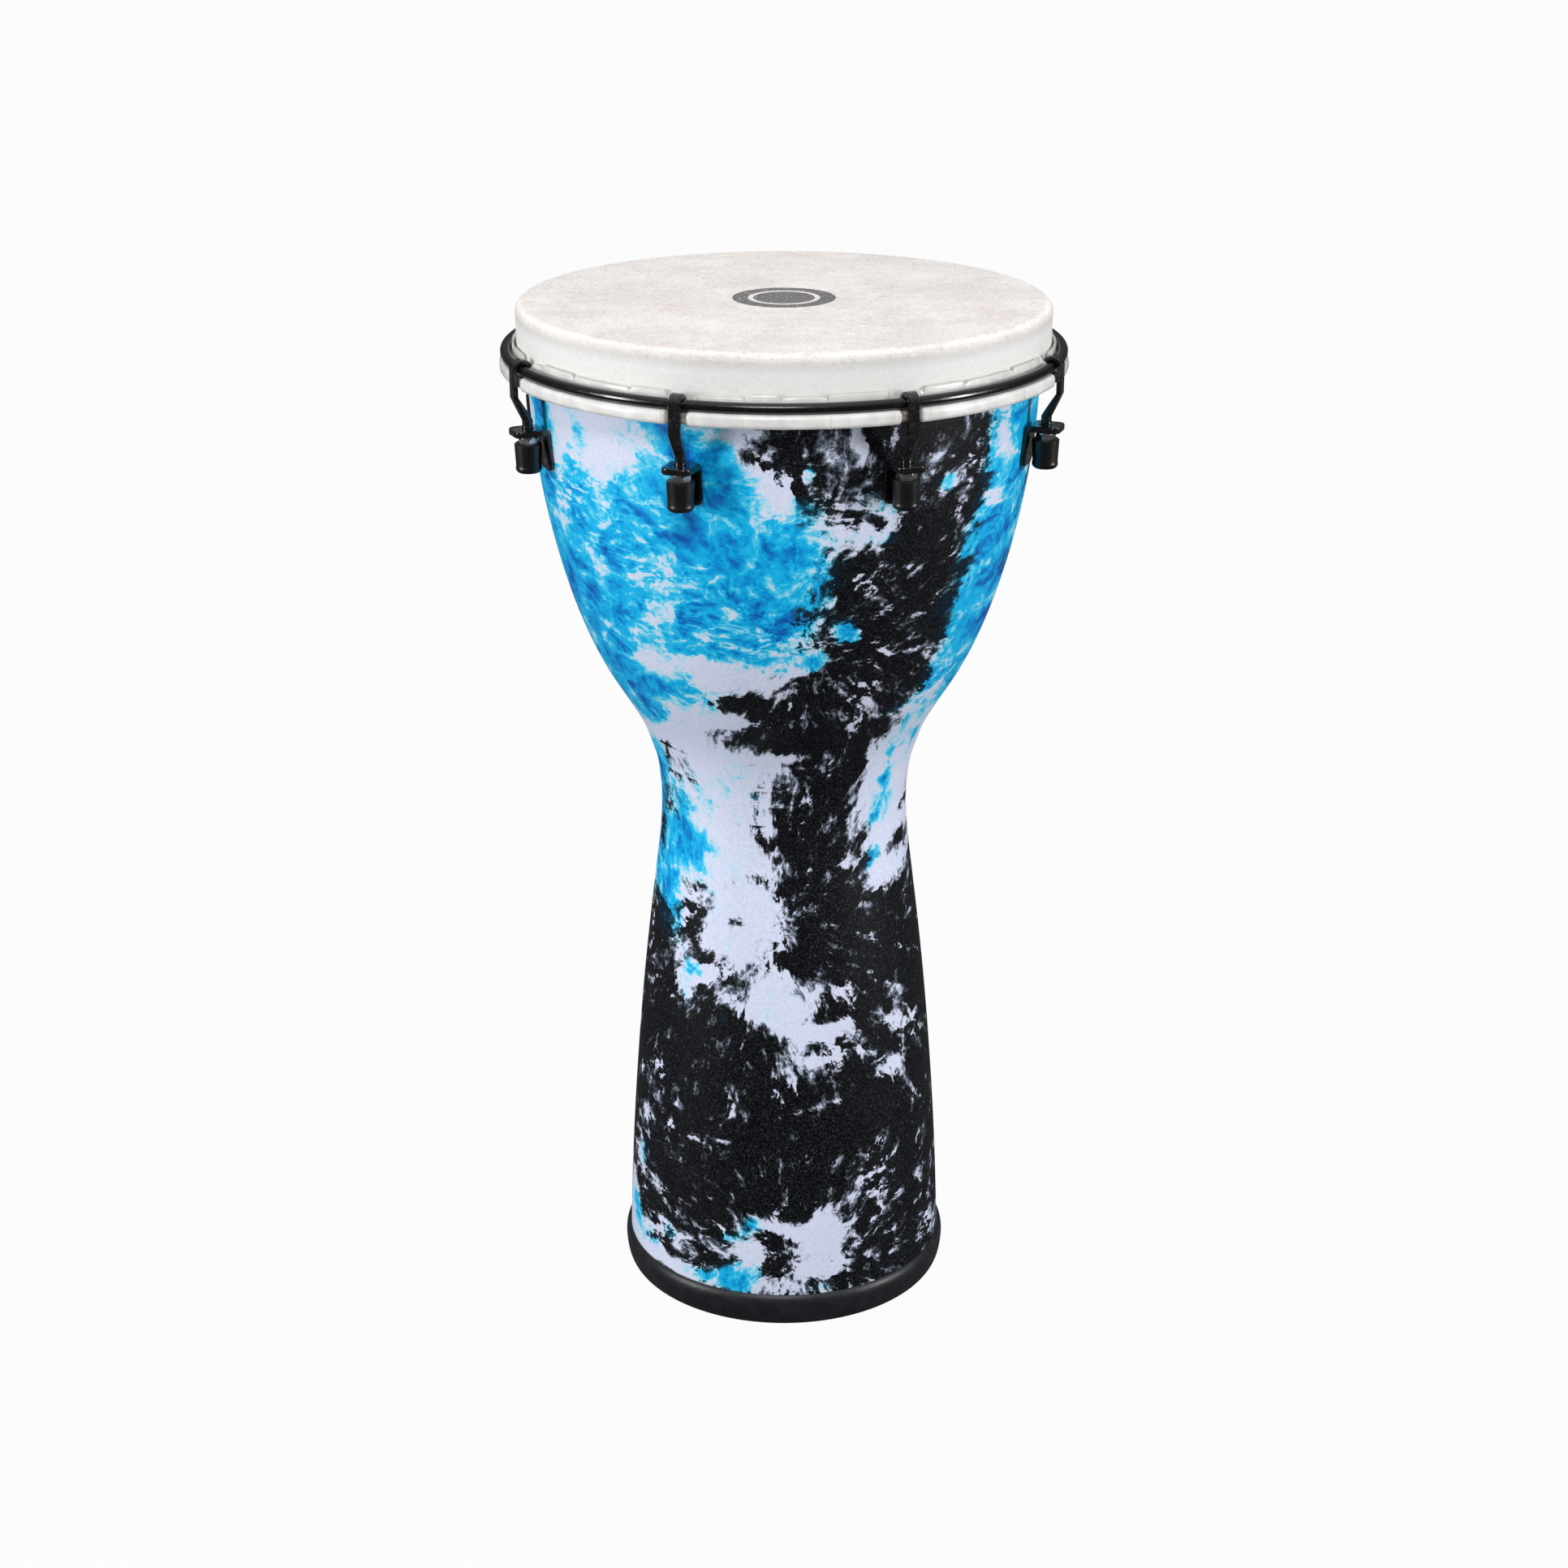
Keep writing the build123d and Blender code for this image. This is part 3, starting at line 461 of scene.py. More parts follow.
# Where the folds of cloth met: streaks run out from these. (azimuth in degrees, height in mm)
FOLD_CENTRES = {"bowl": (4, 452), "stem": (-8, 262), "base": (2, 44)}
STREAK_FINENESS = 11.0    # how often the noise changes round a centre
STREAK_RUN = 2.6          # how often it changes on the way out
STREAK_CORE = 0.030       # metres round a centre where streaks give way to blotches
BASE_TO_STEM = (0.100, 0.140)     # heights where one centre's streaks hand over to the next's
STEM_TO_BOWL = (0.345, 0.375)
# Sizes in metres of the print's random features, from soft patches to a thread's width.
WANDER_SIZE = 0.030
WANDER_REACH = 0.016
WISP_PATCH_SIZE = 0.040
CLOUD_SIZE = 0.030
SMOKE_SIZE = 0.028
WISP_SIZE = 0.024
CURDLE_SIZE = 0.011
FLECK_SIZE = 0.0052
FLECK_STRETCH = (0.42, 1, 1)
FRILL_SIZE = 0.0036
# painted highlight: size of the pale specks painted into the black ink as the lacquered weave's glints
PAINTED_GLINT_SIZE = 0.00075
THREAD_SIZE = 0.0007
THREAD_DEPTH = 0.00018
UP_THREAD_STRETCH = (1, 1, 0.28)
ROUND_THREAD_STRETCH = (0.35, 0.35, 1)
# Half of how much dye the cloth took, and its colour then: lavender, cyan fringe, azure, deep blue.
BLUE_DYE = [
    (0.02, (217, 222, 243)),
    (0.12, (204, 224, 243)),
    (0.21, (176, 222, 243)),
    (0.32, (98, 210, 241)),
    (0.43, (28, 190, 238)),
    (0.58, (4, 175, 232)),
    (0.74, (0, 140, 213)),
    (0.95, (0, 92, 176)),
]
INK = (2, 3, 6)
# painted highlight: the pale grey painted into the black ink as glints
INK_PAINTED_GLINT = (70, 73, 80)
INK_ON_BLUE = (2, 40, 58)
INK_HALO = (52, 92, 110)


def radial_streaks(t, warped, centre, seed):
    """Noise stretched along lines that run out from one fold centre of the unrolled cloth."""
    azimuth, height = centre
    middle = (math.radians(azimuth) * MEAN_RADIUS, height * MM, 0.0)
    offset = t.vector_math("SUBTRACT", warped, middle)
    reach = t.vector_length(offset)
    aim = t.vector_math("NORMALIZE", offset, offset)
    spread = t.math("DIVIDE", reach, t.add(reach, STREAK_CORE))
    aim = t.vector_math("SCALE", aim, t.scale(spread, STREAK_FINENESS))
    depth = t.scale(t.math("LOGARITHM", t.add(reach, STREAK_CORE), math.e), STREAK_RUN)
    return t.noise(t.vector_math("ADD", aim, t.join(seed, seed, depth)), 1.0, 8, 0.68, 0.35)


def tie_dye_material():
    t = Tree("tie_dye_fabric")
    unrolled = t.vector_attribute("unrolled")
    wander = t.noise(unrolled, WANDER_SIZE, 3, 0.5, output=1)
    wander = t.vector_math("SUBTRACT", wander, (0.5,) * 3)
    warped = t.vector_math("ADD", unrolled, t.vector_math("MULTIPLY", wander, (WANDER_REACH,) * 3))

    level = t.split(warped)[1]
    bowl = radial_streaks(t, warped, FOLD_CENTRES["bowl"], 3.0)
    stem = radial_streaks(t, warped, FOLD_CENTRES["stem"], 8.0)
    base = radial_streaks(t, warped, FOLD_CENTRES["base"], 15.0)
    streak = t.blend(t.step(level, *BASE_TO_STEM), base, stem)
    streak = t.blend(t.step(level, *STEM_TO_BOWL), streak, bowl)
    cloud = t.noise(warped, CLOUD_SIZE, 8, 0.62, 0.4)
    curdle = t.noise(warped, CURDLE_SIZE, 6, 0.66, 0.8)
    frill = t.noise(unrolled, FRILL_SIZE, 5, 0.7)

    # blue dye soaks in softly, with white wisps and flecks that it missed
    soak = t.attribute("dye_blue")
    blue_stir = t.add(
        t.swing(cloud, 0.78), t.swing(streak, 0.70), t.swing(curdle, 0.52), t.swing(frill, 0.26)
    )
    blue = t.add(soak, t.scale(blue_stir, t.step(soak, -0.25, 0.40)))
    ridge = t.math("SUBTRACT", t.noise(warped, WISP_SIZE, 5, 0.55, 0.5), 0.5)
    wisp = t.step(t.math("ABSOLUTE", ridge), 0.050, 0.0)
    wisp = t.scale(wisp, t.step(t.noise(unrolled, WISP_PATCH_SIZE, 2), 0.38, 0.56))
    blue = t.math("SUBTRACT", blue, t.scale(wisp, 0.42))
    fleck = t.noise(t.stretched(warped, *FLECK_STRETCH), FLECK_SIZE, 5, 0.6, 0.7)
    missed = t.scale(t.step(fleck, 0.46, 0.62), t.attribute("broken"))
    blue = t.math("SUBTRACT", blue, t.scale(missed, 0.95))
    cloth = t.ramp(t.scale(blue, 0.5), BLUE_DYE)

    # black ink bites with a ragged edge, sharp in some places and smoked in others
    bite = t.attribute("dye_black")
    black_stir = t.add(
        t.swing(streak, 1.00), t.swing(curdle, 0.40), t.swing(frill, 0.26), t.swing(cloud, 0.30)
    )
    black = t.add(bite, t.scale(black_stir, t.step(bite, -0.10, 0.38)))
    black = t.math("SUBTRACT", black, t.scale(missed, 0.55))
    smoke = t.step(t.noise(unrolled, SMOKE_SIZE, 3), 0.38, 0.56)
    sharp_ink = t.step(black, 0.44, 0.58)
    smoked_ink = t.step(black, 0.12, 0.80)
    rim = t.scale(t.step(black, 0.22, 0.48), smoke)
    cloth = t.mix(t.scale(rim, 0.6), cloth, INK_HALO)
    ink = t.blend(smoke, sharp_ink, smoked_ink)
    # painted highlight: pale specks painted into the black ink stand in for the lacquered weave
    # catching the light
    glint_specks = t.noise(t.place, PAINTED_GLINT_SIZE, 2, 0.6)
    ink_colour = t.mix(t.step(glint_specks, 0.52, 0.72), INK, INK_PAINTED_GLINT)
    ink_colour = t.mix(t.scale(t.step(blue, 0.5, 1.3), 0.55), ink_colour, INK_ON_BLUE)
    cloth = t.mix(ink, cloth, ink_colour)

    # woven cloth under lacquer: threads run up and round, and glint one by one
    up_threads = t.noise(t.stretched(t.place, *UP_THREAD_STRETCH), THREAD_SIZE, 2, 0.5)
    round_threads = t.noise(t.stretched(t.place, *ROUND_THREAD_STRETCH), THREAD_SIZE, 2, 0.5)
    threads = t.add(t.scale(up_threads, 0.5), t.scale(round_threads, 0.5))
    tint = t.mix(t.step(threads, 0.40, 0.62), (226, 229, 235), (255, 255, 255))
    cloth = t.mix(0.6, cloth, t.mix(1.0, cloth, tint, "MULTIPLY"))
    t.set(
        Base_Color=cloth,
        Roughness=t.add(0.46, t.swing(threads, 0.08), t.swing(curdle, 0.03)),
        Normal=t.bump(threads, THREAD_DEPTH, 0.5),
        Specular_IOR_Level=0.16,
    )
    return t.material


FIBRE_SIZE = 0.0016
FIBRE_DEPTH = 0.00012
MOTTLE_SIZE = 0.045
WARM_SIZE = 0.018
# The worn round print in the middle: a disc, and a ring round it. Radii in metres.
DISC_RADIUS = 0.0178
RING_INSIDE = 0.0208
RING_OUTSIDE = 0.0298
MARK_SOFTNESS = 0.0002
MARK_WEAR_SIZE = 0.0014
# Heights where the film turns over the shell's edge.
COLLAR_COLOUR = (0.6185, 0.6140)
SHADE_LOW = (0.6100, 0.6172)
SHADE_HIGH = (0.6214, 0.6190)


def drumhead_material():
    t = Tree("drumhead_film")
    fibre_a = t.noise(t.stretched(t.place, 1, 0.30, 1), FIBRE_SIZE, 5, 0.65, 1.0)
    fibre_b = t.noise(t.stretched(t.place, 0.30, 1, 1), FIBRE_SIZE, 5, 0.65, 1.0)
    fibres = t.add(t.scale(fibre_a, 0.5), t.scale(fibre_b, 0.5))
    mottle = t.noise(t.place, MOTTLE_SIZE, 6, 0.68)
    warm = t.noise(t.place, WARM_SIZE, 6, 0.7)
    skin = t.mix(t.step(mottle, 0.34, 0.66), (226, 220, 217), (241, 237, 233))
    skin = t.mix(t.scale(t.step(warm, 0.48, 0.66), 0.30), skin, (228, 208, 202))
    skin = t.mix(t.scale(t.step(fibres, 0.52, 0.60), 0.60), skin, (250, 248, 243))
    skin = t.mix(t.scale(t.step(fibres, 0.48, 0.40), 0.55), skin, (196, 188, 184))
    reach = t.vector_length(t.stretched(t.place, 1, 1, 0))
    worn_reach = t.add(reach, t.swing(fibres, 0.0003))
    soft = MARK_SOFTNESS
    disc = t.step(worn_reach, DISC_RADIUS + soft, DISC_RADIUS - soft)
    ring = t.scale(
        t.step(worn_reach, RING_INSIDE - soft, RING_INSIDE + soft),
        t.step(worn_reach, RING_OUTSIDE + soft, RING_OUTSIDE - soft),
    )
    worn = t.step(t.noise(t.place, MARK_WEAR_SIZE, 4, 0.7, 1.0), 0.28, 0.46)
    inked = t.scale(t.scale(t.math("MAXIMUM", disc, ring), 0.90), worn)
    skin = t.mix(inked, skin, (84, 84, 88))
    # the film is greyer where it turns down over the shell's edge, and whiter on the collar
    level = t.add(t.split(t.place)[2], t.swing(warm, 0.0003))
    collar = t.mix(t.step(fibres, 0.44, 0.58), (221, 221, 219), (228, 228, 226))
    skin = t.mix(t.step(level, *COLLAR_COLOUR), skin, collar)
    below = t.scale(t.step(level, *SHADE_LOW), t.step(level, *SHADE_HIGH))
    skin = t.mix(t.scale(below, 0.30), skin, (150, 147, 146))
    t.set(
        Base_Color=skin,
        Roughness=t.add(0.62, t.swing(fibres, 0.1)),
        Normal=t.bump(fibres, FIBRE_DEPTH, 0.5),
        Specular_IOR_Level=0.35,
    )
    return t.material


def hoop_film_material():
    t = Tree("hoop_film")
    soft = t.noise(t.place, 0.012, 4, 0.5)
    ripple = t.noise(t.stretched(t.place, 1, 1, 2.5), 0.006, 3, 0.5)
    film = t.mix(t.step(soft, 0.3, 0.7), (210, 209, 207), (229, 228, 226))
    # painted shade: brown darkening along the lip's edge, into the notches and along the creases
    film = t.mix(t.scale(t.attribute("stain_and_painted_shade"), 0.7), film, (142, 132, 118))
    t.set(
        Base_Color=film,
        Roughness=t.add(0.26, t.swing(soft, 0.03)),
        Normal=t.bump(ripple, 0.0006, 0.25),
        Coat_Weight=0.3,
        Coat_Roughness=0.12,
    )
    return t.material


def black_metal(name, roughness, size, depth, wear_and_painted_sheen, gloss):
    """Black coat over steel.

    size and depth are the surface's lumps in metres, wear_and_painted_sheen is how strongly its high
    spots are painted pale grey-violet, partly as rubbed wear and partly as a painted reflection, and
    gloss is the weight of the clear coat.
    """
    t = Tree(name)
    lumps = t.noise(t.place, size, 4, 0.55)
    dust = t.noise(t.place, size * 0.3, 3, 0.6)
    coat = t.mix(t.step(dust, 0.4, 0.75), (5, 5, 6), (13, 13, 14))
    # painted reflection: pale grey-violet on the high spots, partly rubbed wear and partly the lit
    # sheen painted in
    coat = t.mix(t.scale(t.step(lumps, 0.50, 0.70), wear_and_painted_sheen), coat, (66, 64, 70))
    t.set(
        Base_Color=coat,
        Roughness=t.add(roughness, t.swing(dust, 0.06)),
        Normal=t.bump(lumps, depth, 0.6),
        Coat_Weight=gloss,
        Coat_Roughness=0.08,
    )
    return t.material


def plated_material():
    t = Tree("plated_steel")
    brushed = t.noise(t.stretched(t.place, 1, 1, 4), 0.0012, 4, 0.6)
    stain_and_painted_shade = t.noise(t.place, 0.004, 3, 0.5)
    steel = t.mix(t.step(stain_and_painted_shade, 0.3, 0.7), (168, 170, 172), (205, 206, 206))
    t.set(
        Base_Color=steel,
        Metallic=1.0,
        Roughness=t.add(0.26, t.swing(brushed, 0.06)),
        Normal=t.bump(brushed, 0.00006, 0.5),
    )
    return t.material


def rubber_material(name, shade, roughness):
    t = Tree(name)
    bloom = t.noise(t.place, 0.010, 5, 0.6)
    grain = t.noise(t.place, 0.0012, 3, 0.6)
    deep = tuple(int(channel * 0.62) for channel in shade)
    t.set(
        Base_Color=t.mix(t.step(bloom, 0.3, 0.75), deep, shade),
        Roughness=t.add(roughness, t.swing(bloom, 0.04), t.swing(grain, 0.03)),
        Normal=t.bump(grain, 0.00015, 0.35),
        Specular_IOR_Level=0.5,
    )
    return t.material


def fibreglass_material():
    t = Tree("shell_fibreglass")
    strands = t.noise(t.stretched(t.place, 1, 1, 0.3), 0.004, 6, 0.65, 2.0)
    patches = t.noise(t.place, 0.030, 4, 0.5)
    t.set(
        Base_Color=t.mix(t.step(strands, 0.4, 0.7), (20, 20, 22), (46, 46, 48)),
        Roughness=t.add(0.55, t.swing(patches, 0.08)),
        Normal=t.bump(strands, 0.0004, 0.6),
    )
    return t.material


def hoop_core_material():
    """The steel hoop, seen only in the film's notches, smeared with the film's glue."""
    t = Tree("hoop_core")
    smear = t.noise(t.place, 0.004, 4, 0.6)
    t.set(
        Base_Color=t.mix(t.step(smear, 0.35, 0.7), (120, 110, 98), (176, 168, 156)),
        Roughness=t.add(0.42, t.swing(smear, 0.08)),
        Normal=t.bump(smear, 0.0002, 0.4),
    )
    return t.material


def dress(node_names, material):
    for name in node_names:
        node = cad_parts[name]
        node.data.materials.clear()
        node.data.materials.append(material)


def numbered(stem):
    return [f"{stem}_{i}" for i in range(1, LUGS + 1)]


WELD_REACH = 0.01 * MM
SHARP = math.radians(38)      # edges that turn more than this are rounded
ROUNDING_SEGMENTS = 3
EDGE_ROUNDING = {"lug": 0.8 * MM, "hook": 0.4 * MM, "nut_cap": 0.5 * MM, "nut": 0.2 * MM}


def round_edges(node_names, width):
    """Round the CAD nodes' sharp edges, as thick paint or a worn mould does."""
    for name in node_names:
        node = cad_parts[name]
        weld = node.modifiers.new("weld", "WELD")
        weld.merge_threshold = WELD_REACH
        bevel = node.modifiers.new("bevel", "BEVEL")
        bevel.width = width
        bevel.segments = ROUNDING_SEGMENTS
        bevel.angle_limit = SHARP
        node.modifiers.new("normals", "WEIGHTED_NORMAL")


# ------------------------------------------------------------------------------ the fabric
WRAP_COLUMNS = 300
WRAP_ROWS = 220
WRAP_INSIDE_ROWS = 24
WRAP_SEAM = 0.15        # degrees at the very back, where the cloth's ends meet
WRAP_THICKNESS = 0.5 * MM
EDGE_MARGIN = 0.01 * MM
MEAN_RADIUS = 0.115     # of the unrolled print, in metres


def build_wrap():
    """The printed cloth: a thin skin whose points carry how much dye the cloth took."""
    low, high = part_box("tie_dye_wrap")
    bottom, top = low[2] + EDGE_MARGIN, high[2] - EDGE_MARGIN
    up = np.linspace(bottom, top, WRAP_ROWS)
    radii = outer_radii("tie_dye_wrap", up)
    down = np.linspace(top, bottom, WRAP_INSIDE_ROWS)
    outline = list(zip(radii, up))
    outline += list(zip(np.interp(down, up, radii) - WRAP_THICKNESS, down))
    half_turn = 180 - WRAP_SEAM / 2
    azimuths = [math.radians(a) for a in np.linspace(-half_turn, half_turn, WRAP_COLUMNS)]
    wrap = turned("tie_dye_print", outline, azimuths)
    points = np.array([vertex.co for vertex in wrap.data.vertices])
    shift = print_warp(points)
    for name, blots, seed, most in (
        ("dye_blue", BLUE_BLOTS, BLUE_SEED, MOST_BLUE),
        ("dye_black", BLACK_BLOTS, BLACK_SEED, MOST_BLACK),
        ("broken", BROKEN_BLOTS, BROKEN_SEED, MOST_BROKEN),
    ):
        add_attribute(wrap, name, dye(points, blots + back_blots(seed), shift, most))
    flat = wrap.data.attributes.new("unrolled", "FLOAT_VECTOR", "POINT")
    across = np.repeat(azimuths, len(outline)) * MEAN_RADIUS
    unrolled = np.column_stack([across, points[:, 2], np.zeros(len(points))])
    flat.data.foreach_set("vector", unrolled.astype(np.float32).ravel())
    wrap.data.materials.append(tie_dye_material())
    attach(wrap, "drum")
    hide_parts("tie_dye_wrap")


# -------------------------------------------------------------------------------- the head
HEAD_TOP = 622.0 * MM
HEAD_RADIUS = 154.2 * MM
HEAD_EDGE = 5.0 * MM
FILM = 0.6 * MM
COLLAR_BOTTOM = 584.0 * MM
COLLAR_RINGS = 14
EDGE_STEPS = 14
INSIDE_EDGE_STEPS = 8
TOP_RINGS = 46
CENTRE_SHARE = 0.0001     # the innermost ring's radius, as a share of the flat top's
HEAD_COLUMNS = 256
COLLAR_SWELL = 0.25 * MM
SWELL_LOOPS = 3           # how many swells the collar has round its edge, roughly
SWELL_RISE = 40


def build_drumhead():
    """Flat top, rounded edge and a collar with the slight waves of moulded film."""
    flat = HEAD_RADIUS - HEAD_EDGE
    rings = [flat * share for share in np.linspace(CENTRE_SHARE, 1, TOP_RINGS)]
    centre = (flat, HEAD_TOP - HEAD_EDGE)
    outside = [(radius, HEAD_TOP) for radius in rings]
    outside += arc_points(centre, HEAD_EDGE, 90, 0, EDGE_STEPS)[1:]
    down = np.linspace(centre[1], COLLAR_BOTTOM, COLLAR_RINGS)
    outside += [(HEAD_RADIUS, z) for z in down[1:]]
    up = np.linspace(COLLAR_BOTTOM, centre[1], COLLAR_RINGS)
    inside = [(HEAD_RADIUS - FILM, z) for z in up]
    inside += arc_points(centre, HEAD_EDGE - FILM, 0, 90, INSIDE_EDGE_STEPS)[1:]
    inside += [(radius, HEAD_TOP - FILM) for radius in reversed(rings[:-1:3])]

    def wave(radius, height, azimuth):
        """The collar draws in by an uneven half millimetre at most, halfway down."""
        if height < centre[1]:
            share = math.sin(math.pi * (centre[1] - height) / (centre[1] - COLLAR_BOTTOM))
            around = Vector((math.sin(azimuth), math.cos(azimuth), 0)) * SWELL_LOOPS
            ripple = noise.noise(around + Vector((0, 0, height * SWELL_RISE)))
            radius -= share * COLLAR_SWELL * (1 + ripple)
        return radius, height

    head = turned("drumhead_skin", outside + inside, even_azimuths(HEAD_COLUMNS), wave)
    head.data.materials.append(drumhead_material())
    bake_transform(head)
    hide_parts("drumhead")


# --------------------------------------------------------------- the film round the hoop
# Azimuths in degrees of the cuts in the film, on the front three bays, and the height in mm of
# the tab that starts at each. The tabs further round are drawn at random.
FRONT_CUTS = [-60.4, -48.9, -33.7, -25.4, -19.0, -9.5, -2.6, 6.6, 18.7, 26.5, 36.4, 51.0]
FRONT_TABS = [601.2, 600.2, 600.9, 599.4, 599.2, 600.8, 599.6, 600.9, 600.0, 601.4, 601.0, 601.6]
CUTS_SEED = 17
BACK_CUTS_START = 12      # degrees past the last front cut
BACK_CUTS_END = 6         # degrees before the first one
BACK_TAB_SPANS = (7, 15)
BACK_TAB_HEIGHTS = (599.2, 601.5)
HOOP_RADIUS = 159.5 * MM
HOOP_HEIGHT = 587.6 * MM
HOOP_HALF_WIDTH = 4.5 * MM
HOOP_HALF_HEIGHT = 4.0 * MM
HOOP_ROUNDING = 2.8 * MM
MOST_ROUNDING = 0.9       # as a share of the half width or height
CORNER_STEPS = 6
RING_STEP = math.radians(0.45)
END_RINGS = 7
END_ANGLES = (0.25, 1.57)     # radians of the quarter circle that rounds an end, spread over its rings
LEAST_SHRINK = 0.02
NOTCH = 8.8 * MM
NOTCH_ROUNDING = 2.6 * MM
LIP_THICKNESS = 1.4 * MM
LIP_ROUNDING = 0.35 * MM
LEAST_LIP = 0.2 * MM
LIP_WOBBLE = 0.5 * MM
LIP_LEAN = 0.35 * MM
NOTCH_FALL = 5 * MM           # the lip comes down this far at a notch,
NOTCH_FALL_RUN = 5.0 * MM     # over this distance
SLIT_DEPTH = 2.2 * MM
SLIT_HALF_WIDTH = 0.9 * MM
CREASE_DEPTH = 0.24 * MM
CREASE_HALF_WIDTH = 0.55 * MM
# painted shade: the film is painted darker along its lip's edge, into the notches and along the
# creases, where shadow falls
PAINTED_SHADE_DEPTH = 1.0 * MM        # below the lip's edge
EDGE_PAINTED_SHADE, NOTCH_PAINTED_SHADE, CREASE_PAINTED_SHADE = 0.55, 0.7, 0.25


def film_cuts():
    """Sorted (azimuth, height of the tab that starts there), all the way round."""
    draw = np.random.default_rng(CUTS_SEED)
    cuts = [(math.radians(a), h * MM) for a, h in zip(FRONT_CUTS, FRONT_TABS)]
    at = FRONT_CUTS[-1] + BACK_CUTS_START
    while at < 360 + FRONT_CUTS[0] - BACK_CUTS_END:
        cuts.append((wrapped(math.radians(at)), draw.uniform(*BACK_TAB_HEIGHTS) * MM))
        at += draw.uniform(*BACK_TAB_SPANS)
    return sorted(cuts)


def hoop_section(shrink, lip_top, lean, crease):
    """Closed section (radius, height) of the film: a rounded bar with a thin lip on top."""
    half_width = HOOP_HALF_WIDTH * shrink + crease
    half_height = HOOP_HALF_HEIGHT * shrink + crease / 2
    rounding = min(HOOP_ROUNDING, half_width * MOST_ROUNDING, half_height * MOST_ROUNDING)
    right, left = HOOP_RADIUS + half_width - rounding, HOOP_RADIUS - half_width + rounding
    low, high = HOOP_HEIGHT - half_height + rounding, HOOP_HEIGHT + half_height - rounding
    section = arc_points((right, high), rounding, 90, 0, CORNER_STEPS)
    section += arc_points((right, low), rounding, 0, -90, CORNER_STEPS)
    section += arc_points((left, low), rounding, -90, -180, CORNER_STEPS)
    inner = HOOP_RADIUS - half_width
    outer = inner + LIP_THICKNESS
    lip_low = HOOP_HEIGHT + half_height
    lip_top = max(lip_top, lip_low + LEAST_LIP)
    for share in (0.0, 0.5, 0.85):
        section.append((inner + lean * share**2, lip_low + (lip_top - lip_low) * share))
    section.append((inner + lean + LIP_ROUNDING, lip_top))
    section.append((outer + lean - LIP_ROUNDING, lip_top))
    for share in (0.85, 0.5, 0.12):
        section.append((outer + lean * share**2, lip_low + (lip_top - lip_low) * share))
    return section


def bay_azimuths(start, finish):
    """Azimuths of one length's rings, even along it and crowded into its rounded ends."""
    end_length = NOTCH_ROUNDING / HOOP_RADIUS
    ends = [end_length * (1 - math.cos(a)) for a in np.linspace(*END_ANGLES, END_RINGS)]
    middle = np.arange(start + end_length + RING_STEP, finish - end_length, RING_STEP)
    return [start + end for end in ends] + list(middle) + [finish - end for end in reversed(ends)]


def film_ring(azimuth, to_end, cuts):
    """The film's section at an azimuth, and how much painted shade each of its points gets.

    to_end is the distance to the nearer end of this length, in metres.
    """
    turn = wrapped(azimuth)
    starts = [cut[0] for cut in cuts]
    tab = (np.searchsorted(starts, turn) - 1) % len(cuts)
    to_cut = min(abs(wrapped(turn - start)) for start in starts) * HOOP_RADIUS
    fold = math.exp(-((to_cut / CREASE_HALF_WIDTH) ** 2))
    slit = math.exp(-((to_cut / SLIT_HALF_WIDTH) ** 4))
    notch = max(0.0, 1 - to_end / NOTCH_FALL_RUN) ** 2
    inward = max(0.0, 1 - to_end / NOTCH_ROUNDING)
    shrink = math.sqrt(max(LEAST_SHRINK, 1 - inward * inward))
    wobble = noise.noise((turn * 9, tab * 3.1, 0.0))
    lip_top = cuts[tab][1] + wobble * LIP_WOBBLE - notch * NOTCH_FALL - slit * SLIT_DEPTH
    lean = LIP_LEAN * (1 + noise.noise((turn * 5, 4.4, tab * 1.7))) * (1 - notch)
    section = hoop_section(shrink, lip_top, lean, fold * CREASE_DEPTH)
    painted_shades = []
    for _, height in section:
        # painted shade: darkest at the lip's top edge, at the notches and along the creases
        edge = max(0.0, (height - lip_top + PAINTED_SHADE_DEPTH) / PAINTED_SHADE_DEPTH)
        stain_and_painted_shade = EDGE_PAINTED_SHADE * edge + NOTCH_PAINTED_SHADE * notch + CREASE_PAINTED_SHADE * fold
        painted_shades.append(min(1.0, stain_and_painted_shade))
    return section, painted_shades


def build_hoop_film():
    """Eight lengths of film folded over the hoop, cut into tabs, with a notch at each hook."""
    cuts = film_cuts()
    points, faces, painted_shades = [], [], []
    half_notch = NOTCH / 2 / HOOP_RADIUS
    for bay in range(LUGS):
        start = FIRST_LUG + bay * LUG_PITCH + half_notch
        finish = start + LUG_PITCH - 2 * half_notch
        azimuths = bay_azimuths(start, finish)
        first_ring = len(points)
        for azimuth in azimuths:
            to_end = min(azimuth - start, finish - azimuth) * HOOP_RADIUS
            section, ring_painted_shades = film_ring(azimuth, to_end, cuts)
            painted_shades += ring_painted_shades
            for radius, height in section:
                points.append((radius * math.sin(azimuth), -radius * math.cos(azimuth), height))
        rows = len(section)
        for ring in range(len(azimuths) - 1):
            here, there = first_ring + ring * rows, first_ring + (ring + 1) * rows
            for row in range(rows):
                after = (row + 1) % rows
                faces.append((here + row, there + row, there + after, here + after))
        last_ring = first_ring + (len(azimuths) - 1) * rows
        faces.append(tuple(first_ring + row for row in range(rows)))
        faces.append(tuple(last_ring + row for row in reversed(range(rows))))
    film = new_mesh("hoop_film_tabs", points, faces)
    add_attribute(film, "stain_and_painted_shade", painted_shades)
    film.data.materials.append(hoop_film_material())
    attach(film, "head")
    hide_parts("hoop_cover")


